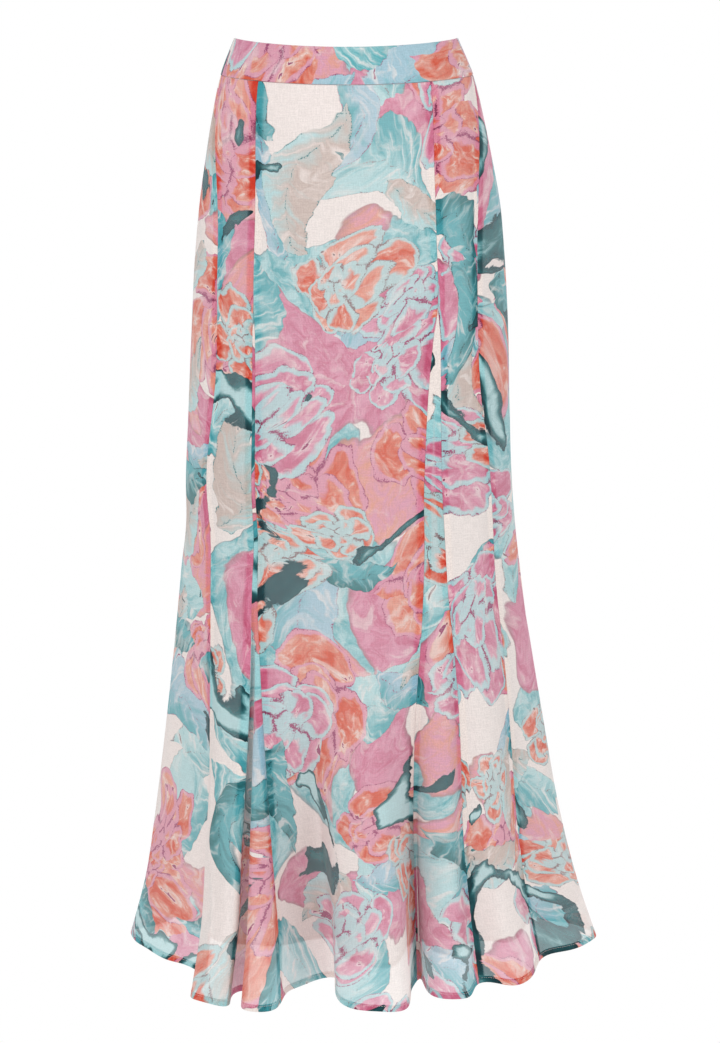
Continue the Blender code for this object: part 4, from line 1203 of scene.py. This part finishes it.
class SkirtCloth(bpy.types.PropertyGroup):
    """Sizes of the cloth and how it is made up."""

    thickness: FloatProperty(name="Cloth thickness", description="Thickness of the printed voile",
                             default=0.45 * MM, unit="LENGTH")
    face: FloatProperty(name="Face", description="How far the cloth's face lies outside the solid's middle",
                        default=0.30 * MM, unit="LENGTH")
    seam_allowance: FloatProperty(name="Seam allowance", description="Cloth turned under beside each seam",
                                  default=8.0 * MM, unit="LENGTH")
    hem_depth: FloatProperty(name="Hem depth", description="Cloth turned up inside the hem",
                             default=7.0 * MM, unit="LENGTH")
    fine_folds: FloatProperty(name="Fine folds", description="Strength of the small uneven folds",
                              default=1.0, subtype="FACTOR")
    spacing: FloatProperty(name="Mesh spacing", description="Distance between the panels' columns at the hem",
                           default=4.3 * MM, unit="LENGTH")


class SkirtPrint(bpy.types.PropertyGroup):
    """Colours and scale of the print."""

    scale: FloatProperty(name="Print scale", description="Higher values print the motifs smaller",
                         default=1.12)
    __annotations__.update({name: FloatVectorProperty(
        name=title, description=title + " of the print", subtype="COLOR", size=3, min=0.0, max=1.0,
        default=srgb(code)) for name, title, code in DYES})


class SkirtSewing(bpy.types.PropertyGroup):
    """Sizes of the stitching."""

    stitch: FloatProperty(name="Stitch length", description="Length of one stitch",
                          default=2.1 * MM, unit="LENGTH")
    gap: FloatProperty(name="Stitch gap", description="Gap between two stitches",
                       default=0.5 * MM, unit="LENGTH")
    thread: FloatProperty(name="Thread width", description="Width of the thread",
                          default=0.35 * MM, unit="LENGTH")
    coil_pitch: FloatProperty(name="Coil pitch", description="Distance between two bars of a side of the zip",
                              default=1.5 * MM, unit="LENGTH")


class SkirtStage(bpy.types.PropertyGroup):
    """Light of the studio."""

    fill: FloatProperty(name="Fill light", description="Strength of the light from all round", default=0.70)
    key: FloatProperty(name="Key light", description="Power of the largest lamp", default=45.0, unit="POWER")


class SKIRT_OT_panels(bpy.types.Operator):
    """Makes the printed panels and godets with their turned seams and hem"""

    bl_idname = "skirt.panels"
    bl_label = "Printed panels"

    def execute(self, context):
        build_panels()
        return {"FINISHED"}


class SKIRT_OT_lining(bpy.types.Operator):
    """Makes the lining"""

    bl_idname = "skirt.lining"
    bl_label = "Lining"

    def execute(self, context):
        build_lining()
        return {"FINISHED"}


class SKIRT_OT_waistband(bpy.types.Operator):
    """Makes the contoured waistband"""

    bl_idname = "skirt.waistband"
    bl_label = "Waistband"

    def execute(self, context):
        build_waistband()
        return {"FINISHED"}


class SKIRT_OT_stitching(bpy.types.Operator):
    """Sews both hems and the inside of the waistband"""

    bl_idname = "skirt.stitching"
    bl_label = "Stitching"

    def execute(self, context):
        build_stitching()
        return {"FINISHED"}


class SKIRT_OT_zip(bpy.types.Operator):
    """Makes the concealed zip's tapes and coil, and finishes its slider and pull tab"""

    bl_idname = "skirt.zip"
    bl_label = "Zip"

    def execute(self, context):
        build_zip()
        return {"FINISHED"}


class SKIRT_OT_stage(bpy.types.Operator):
    """Sets up the white studio, its lamps and the camera"""

    bl_idname = "skirt.stage"
    bl_label = "Studio"

    def execute(self, context):
        build_stage()
        return {"FINISHED"}


class SKIRT_PT_pieces(bpy.types.Panel):
    """Lists the skirt's pieces and sizes"""

    bl_idname = "SKIRT_PT_pieces"
    bl_label = "Printed maxi skirt"
    bl_space_type = "VIEW_3D"
    bl_region_type = "UI"
    bl_category = "Skirt"

    def draw(self, context):
        for operator in OPERATORS:
            self.layout.operator(operator.bl_idname)
        for group in GROUPS:
            settings = getattr(context.scene, group)
            for name in settings.bl_rna.properties.keys():
                if name not in ("rna_type", "name"):
                    self.layout.prop(settings, name)


OPERATORS = (SKIRT_OT_stage, SKIRT_OT_panels, SKIRT_OT_lining, SKIRT_OT_waistband,
             SKIRT_OT_stitching, SKIRT_OT_zip)
GROUPS = {"skirt_cloth": SkirtCloth, "skirt_print": SkirtPrint, "skirt_sewing": SkirtSewing,
          "skirt_stage": SkirtStage}


def register():
    for group, kind in GROUPS.items():
        bpy.utils.register_class(kind)
        setattr(bpy.types.Scene, group, PointerProperty(type=kind))
    for kind in (*OPERATORS, SKIRT_PT_pieces):
        bpy.utils.register_class(kind)


def unregister():
    for kind in (SKIRT_PT_pieces, *OPERATORS[::-1]):
        bpy.utils.unregister_class(kind)
    for group, kind in GROUPS.items():
        delattr(bpy.types.Scene, group)
        bpy.utils.unregister_class(kind)


def main():
    register()
    bpy.ops.skirt.stage()
    bpy.ops.skirt.panels()
    bpy.ops.skirt.lining()
    bpy.ops.skirt.waistband()
    bpy.ops.skirt.stitching()
    bpy.ops.skirt.zip()


if __name__ == "__main__":
    main()
